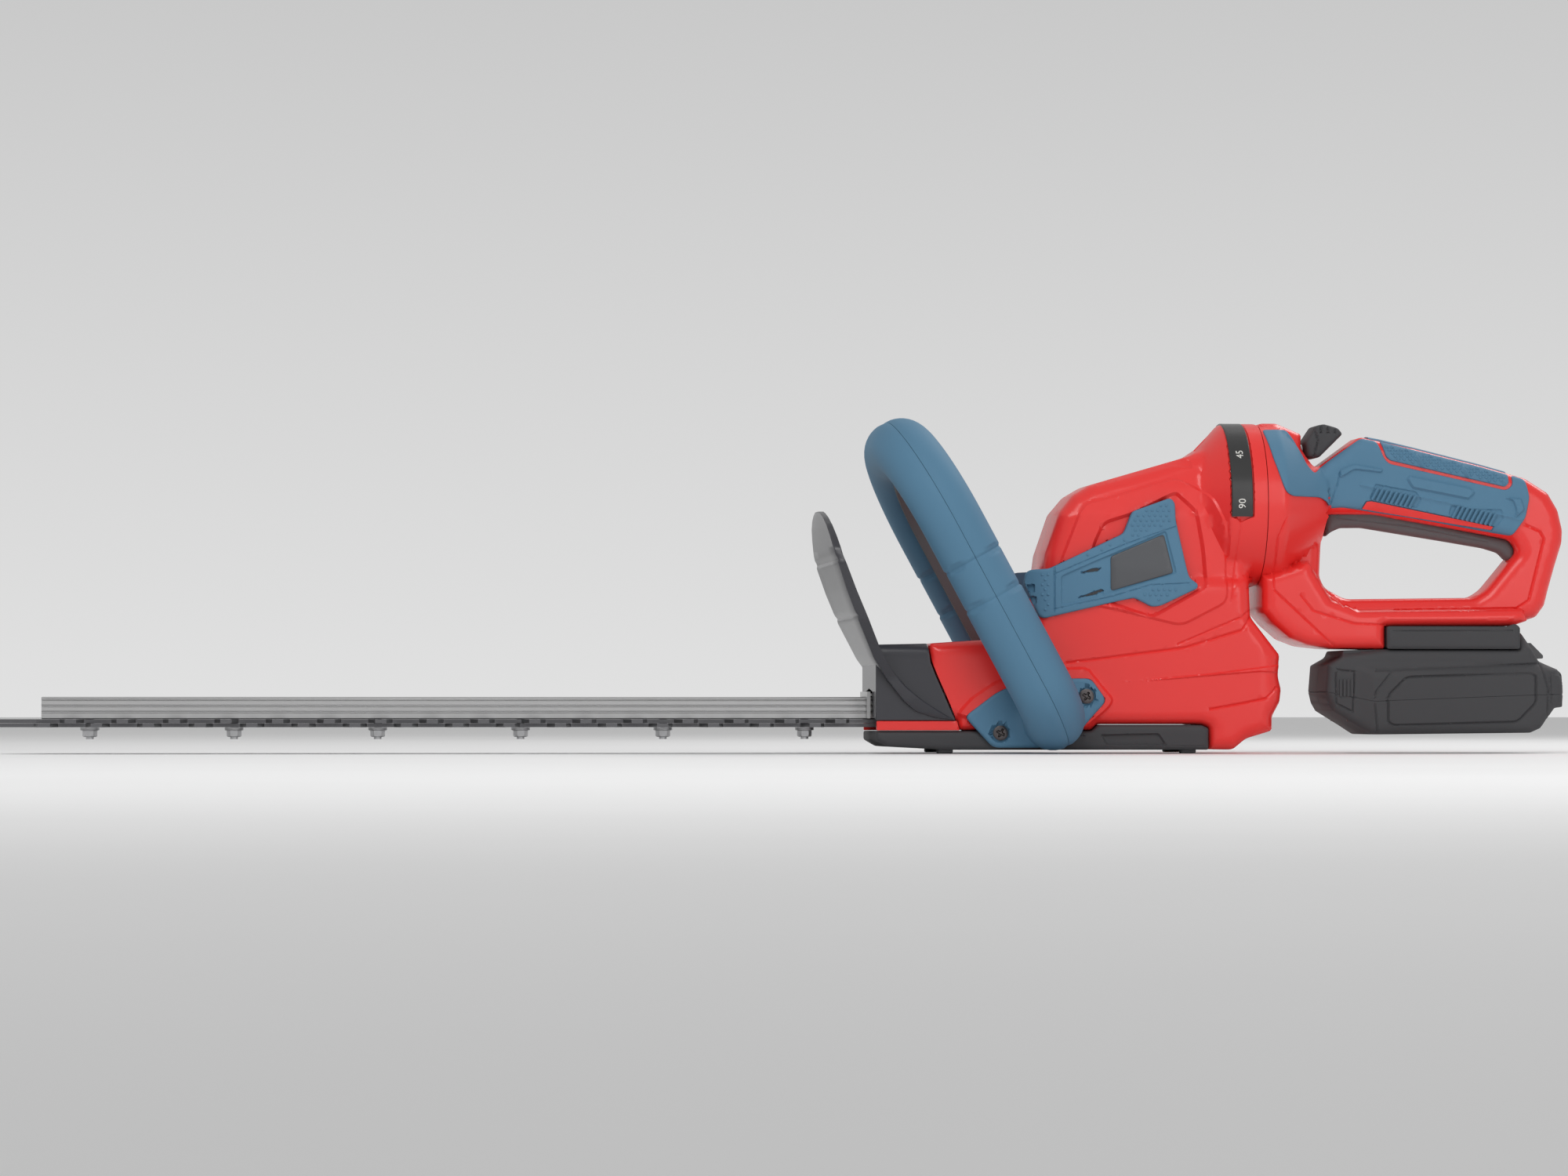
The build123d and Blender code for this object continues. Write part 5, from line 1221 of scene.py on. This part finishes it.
def pack_out(co):
    """Half width of the battery, pulled in at its bumpers and at the top."""
    h, z = co[:, 0] - SEAM, co[:, 1]
    whole = [np.array(from_seam([
        (40, 38.4), (41.4, 55.5), (50.8, 62), (79.4, 65.7), (165, 65.7), (163.5, 75), (168, 76.4),
        (177.6, 58.2), (189, 53), (193, 44), (192.6, 29), (187.3, 28.4), (177.5, 15.4), (171.3, 12.6),
        (69.3, 11.6), (44.6, 26.6)]))]
    side = np.interp(h, [38, 60, 70, 180, 196], [33, 34.5, 38, 38, 34])
    side = np.minimum(side, np.interp(z, [11, 16, 50, 56, 66, 78], [36.5, 38, 38, 33.6, 33.0, 24]))
    return side - edge_drop(depth_in(co, whole), 4.5)


class TRIMMER_OT_battery(bpy.types.Operator):
    """Battery case halves with grooved side panels, bumpers and ribs, and the receiver above"""
    bl_idname = "trimmer.battery"
    bl_label = "Battery"

    def execute(self, context):
        details = [
            Groove(smooth_corners(from_seam(PANEL), 3, 4), 2.2, 1.1, True),
            Groove(from_seam([(81.6, 51.5), (71.3, 39), (70.3, 32.7), (72, 14)]), 2.0, 0.8),
            Groove(from_seam([(72, 52), (177, 56.5), (182.4, 40), (181, 18)]), 2.0, 0.8),
            Groove(from_seam([(47.5, 52.5), (58, 51.5), (56.9, 26), (46.6, 31.2), (46.2, 50)]), 1.6, 0.8,
                   True),
            Panel(from_seam([(183.5, 50.5), (192, 49), (192.5, 31), (183.5, 31)]), 1.0, 0.8, 1),
        ]
        for part, line in (("upper", PACK_TOP), ("lower", PACK_LOW)):
            loop = smooth_corners(from_seam(line), 1.2, 3)
            half = moulded([loop], lambda co: pack_out(co) - edge_drop(depth_in(co, [loop]), 0.35), 2.5, 2.2,
                           details, rows=(0.25, 0.8, 1.8, 3.2))
            piece("skin_pack_" + part, both_sides(half), "battery", "dark_grey", "battery_case_" + part)
        rib = plate([smooth_corners([(-0.7, -5.5), (0.7, -5.5), (0.7, 5.5), (-0.7, 5.5)], 0.6, 3)],
                    flat(0.9), flat(-1.2), 0.8)
        side = float(pack_out(np.array([(SEAM + 52, 44.0)]))[0])
        near = in_a_row(rib, 4, (SEAM + 49.2, 0.1 - side, 41.0), (2.4, 0, 0), "dark_grey")
        far = near.copy()
        far.transform(Matrix.Diagonal((1, -1, 1, 1)))
        far.flip_normals()
        piece("skin_pack_ribs_near", near, "battery", "dark_grey")
        piece("skin_pack_ribs_far", far, "battery", "dark_grey")
        seat = smooth_corners(from_seam(RECEIVER), 1.2, 3)
        shell = plate([seat], rounded(33.7, seat, 2.0), flat(32.2), 2.5,
                      [Groove(from_seam([(83, 77.2), (160, 77.6)]), 1.2, 0.5)], rows=(0.3, 0.9, 1.8))
        piece("skin_receiver_sides", both_sides(shell), "rear_handle", "dark_grey")
        return {"FINISHED"}


# ---- blades, rail and fasteners ----------------------------------------------------------------
TOOTH_PITCH, TOOTH_COUNT = 32.0, 16
FIRST_TOOTH = {"lower": 30.0, "upper": 46.0}    # blade tip to the first tooth of each blade
BOLT_PITCH, BOLT_COUNT, FIRST_BOLT = 90.0, 6, 56.5


def ground_edges(bevel, lift):
    """The two ground strips of one double-sided tooth, laid on the blade's outer face."""
    shape = Shape()
    for across in (-1, 1):
        for side in (-1, 1):
            line = [(7.3, 16.6), (3.45, 36.7), (max(0.3, 3.45 - bevel * 0.8), 36.7), (7.3 - bevel, 16.6)]
            verts = [(side * x, across * y, z) for z in (-lift, lift) for x, y in line]
            faces = [(0, 1, 2, 3), (7, 6, 5, 4)] + [(k, (k + 1) % 4, (k + 1) % 4 + 4,
                                                     k + 4) for k in range(4)]
            shape.join(outward(Shape().add(verts, faces)))
    return shape


class TRIMMER_OT_blades(bpy.types.Operator):
    """A row of ground cutting edges on the teeth of both blades"""
    bl_idname = "trimmer.blades"
    bl_label = "Cutting edges"

    def execute(self, context):
        bevel = context.scene.trimmer_sizes.bevel / MM
        for side in ("upper", "lower"):
            low, high = (c.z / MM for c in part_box(side + "_blade"))
            first = (TIP + FIRST_TOOTH[side], 0, high if side == "upper" else low)
            row = in_a_row(ground_edges(bevel, 0.07), TOOTH_COUNT, first, (TOOTH_PITCH, 0, 0), "bright_steel")
            piece("skin_edges_blade_" + side, row, "blade_" + side, "bright_steel")
        return {"FINISHED"}


class TRIMMER_OT_rail(bpy.types.Operator):
    """Extruded aluminium rail with grooved sides and a channel along its top"""
    bl_idname = "trimmer.rail"
    bl_label = "Rail"

    def execute(self, context):
        low, high = (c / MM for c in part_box("support_rail"))
        wide, top, base = high.y, high.z, low.z
        half = [(wide - 0.6, base), (wide, base + 0.6), (wide, base + 3.6), (wide - 0.9, base + 4.1),
                (wide - 0.9, base + 4.7), (wide, base + 5.2), (wide, base + 7.4), (wide - 0.9, base + 7.9),
                (wide - 0.9, base + 8.5), (wide, base + 9.0), (wide, top - 2.6), (wide - 0.8, top - 2.1),
                (wide - 0.8, top - 1.7), (wide, top - 1.2), (wide, top - 0.4), (wide - 0.4, top), (7.4, top),
                (7.0, top - 0.4), (7.0, top - 7.0), (6.5, top - 7.5)]
        ring = half + [(-y, z) for y, z in reversed(half)]

        def section(x, pull):
            return [(x, y * (1 - pull / wide), z + (pull if z < base + 1 else -pull if z > top - 1 else 0))
                    for y, z in ring]

        ends = ((low.x, 0.3), (low.x + 0.4, 0), (high.x - 0.4, 0), (high.x, 0.3))
        rail = outward(swept([section(x, pull) for x, pull in ends]))
        piece("skin_rail", rail, "main_body", "rail_aluminium", "support_rail", angle=25)
        return {"FINISHED"}


class TRIMMER_OT_fasteners(bpy.types.Operator):
    """Flanged lock nuts of the blade bolts"""
    bl_idname = "trimmer.fasteners"
    bl_label = "Blade fasteners"

    def execute(self, context):
        low, high = (c.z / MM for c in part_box("blade_nuts"))
        top = high - low
        turns = [2 * pi * k / 24 for k in range(24)]

        def hexagon(r, z, chamfer=0.0):
            sides = [(min(r * cos(pi / 6) / cos((a % (pi / 3)) - pi / 6), r * (1 - chamfer)),
                      a) for a in turns]
            return [(side * cos(a), side * sin(a), top - z) for side, a in sides]

        def circle(r, z):
            return [(r * cos(a), r * sin(a), top - z) for a in turns]

        nut = swept([circle(5.7, 0), circle(6.0, 0.25), circle(6.0, 0.7), circle(4.9, 1.1),
                     hexagon(4.62, 1.1),
                     hexagon(4.62, top - 0.7), hexagon(4.62, top - 0.25, 0.08), circle(3.7, top),
                     circle(2.75, top),
                     circle(2.6, top - 1.2), circle(0.05, top - 1.2)])
        first = (TIP + FIRST_BOLT, 0, low)
        mesh = in_a_row(outward(nut), BOLT_COUNT, first, (BOLT_PITCH, 0, 0), "bright_steel")
        piece("skin_blade_nuts", mesh, "main_body", "bright_steel", "blade_nuts")
        return {"FINISHED"}


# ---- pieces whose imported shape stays, with their finishes ---------------------------------------
class TRIMMER_OT_finishes(bpy.types.Operator):
    """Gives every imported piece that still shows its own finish"""
    bl_idname = "trimmer.finishes"
    bl_label = "Finishes"

    def execute(self, context):
        for entry in frame["record"]["subparts"]:
            data = frame["nodes"][entry["node"]].data
            data.materials.clear()
            data.materials.append(finish(entry["material_slot"]))
        return {"FINISHED"}


# ---- stage ------------------------------------------------------------------------------------
def softbox(name, place, aim, size, power):
    lamp = bpy.data.lights.new(name, "AREA")
    lamp.shape = "RECTANGLE"
    lamp.size, lamp.size_y = size
    lamp.energy = power
    made = bpy.data.objects.new(name, lamp)
    made.location = place
    made.rotation_euler = (Vector(aim) - Vector(place)).to_track_quat("-Z", "Y").to_euler()
    bpy.context.scene.collection.objects.link(made)


class TRIMMER_OT_stage(bpy.types.Operator):
    """Pale floor, soft lights and the camera"""
    bl_idname = "trimmer.stage"
    bl_label = "Stage"

    def execute(self, context):
        scene = context.scene
        floor = bpy.data.meshes.new("floor")
        floor.from_pydata([(-30, -30, -0.0004), (30, -30, -0.0004), (30, 30, -0.0004), (-30, 30, -0.0004)],
                          [],
                          [(0, 1, 2, 3)])
        made, tree, shader = nodes_of("floor")
        tint = shade_colour(tree, noise_on(tree, 3.0), (0.9, 0.9, 0.9), 0.01)
        tree.links.new(tint, shader.inputs["Base Color"])
        shader.inputs["Roughness"].default_value = 0.8
        floor.materials.append(made)
        ground = bpy.data.objects.new("floor", floor)
        scene.collection.objects.link(ground)
        world = bpy.data.worlds.new("studio")
        world.use_nodes = True
        tree = world.node_tree
        place = tree.nodes.new("ShaderNodeTexCoord")
        split = tree.nodes.new("ShaderNodeSeparateXYZ")
        sky = tree.nodes.new("ShaderNodeValToRGB")
        low, high = sky.color_ramp.elements
        low.position, high.position = 0.42, 0.60
        low.color, high.color = (0.95, 0.95, 0.95, 1), (0.5, 0.5, 0.5, 1)
        shift = tree.nodes.new("ShaderNodeMapRange")
        shift.inputs["From Min"].default_value = -1.0
        tree.links.new(place.outputs["Generated"], split.inputs["Vector"])
        tree.links.new(split.outputs["Z"], shift.inputs["Value"])
        tree.links.new(shift.outputs["Result"], sky.inputs["Fac"])
        tree.links.new(sky.outputs["Color"], tree.nodes["Background"].inputs["Color"])
        scene.world = world
        softbox("key", (-0.5, -1.6, 1.9), (0, 0, 0.1), (1.4, 1.0), 17)
        softbox("rear", (1.3, 1.0, 1.5), (0.1, 0, 0.1), (1.2, 0.8), 12)
        softbox("side", (0.9, -1.9, 0.7), (0.2, 0, 0.1), (0.5, 1.2), 4)
        scene.view_settings.view_transform = "Standard"
        lens = bpy.data.cameras.new("camera")
        lens.sensor_width, lens.lens = 36.0, 123.03
        lens.clip_end = 50
        camera = bpy.data.objects.new("camera", lens)
        camera.location = (-0.3003, -3.3871, 0.025)
        aim = Vector((-0.004, 0, 0.1045)) - camera.location
        camera.rotation_euler = aim.to_track_quat("-Z", "Y").to_euler()
        scene.collection.objects.link(camera)
        scene.camera = camera
        return {"FINISHED"}


STEPS = (TRIMMER_OT_finishes, TRIMMER_OT_housing, TRIMMER_OT_trims, TRIMMER_OT_guard, TRIMMER_OT_cover,
         TRIMMER_OT_scale,
         TRIMMER_OT_body_screws, TRIMMER_OT_loop, TRIMMER_OT_rear_handle, TRIMMER_OT_grips,
         TRIMMER_OT_controls,
         TRIMMER_OT_battery, TRIMMER_OT_blades, TRIMMER_OT_rail, TRIMMER_OT_fasteners, TRIMMER_OT_stage)


class TRIMMER_PT_panel(bpy.types.Panel):
    """Lists the trimmer's sizes, colours and pieces"""
    bl_idname = "TRIMMER_PT_panel"
    bl_label = "Hedge Trimmer"
    bl_space_type = "VIEW_3D"
    bl_region_type = "UI"
    bl_category = "Trimmer"

    def draw(self, context):
        for group in (context.scene.trimmer_sizes, context.scene.trimmer_colours):
            for name in group.__annotations__:
                self.layout.prop(group, name)
        for step in STEPS:
            self.layout.operator(step.bl_idname)


CLASSES = (TrimmerColours, TrimmerSizes) + STEPS + (TRIMMER_PT_panel,)


def register():
    for entry in CLASSES:
        bpy.utils.register_class(entry)
    bpy.types.Scene.trimmer_colours = bpy.props.PointerProperty(type=TrimmerColours)
    bpy.types.Scene.trimmer_sizes = bpy.props.PointerProperty(type=TrimmerSizes)


def unregister():
    del bpy.types.Scene.trimmer_sizes
    del bpy.types.Scene.trimmer_colours
    for entry in reversed(CLASSES):
        bpy.utils.unregister_class(entry)


def main():
    register()
    for step in STEPS:
        group, name = step.bl_idname.split(".")
        getattr(getattr(bpy.ops, group), name)()


if __name__ == "__main__":
    main()
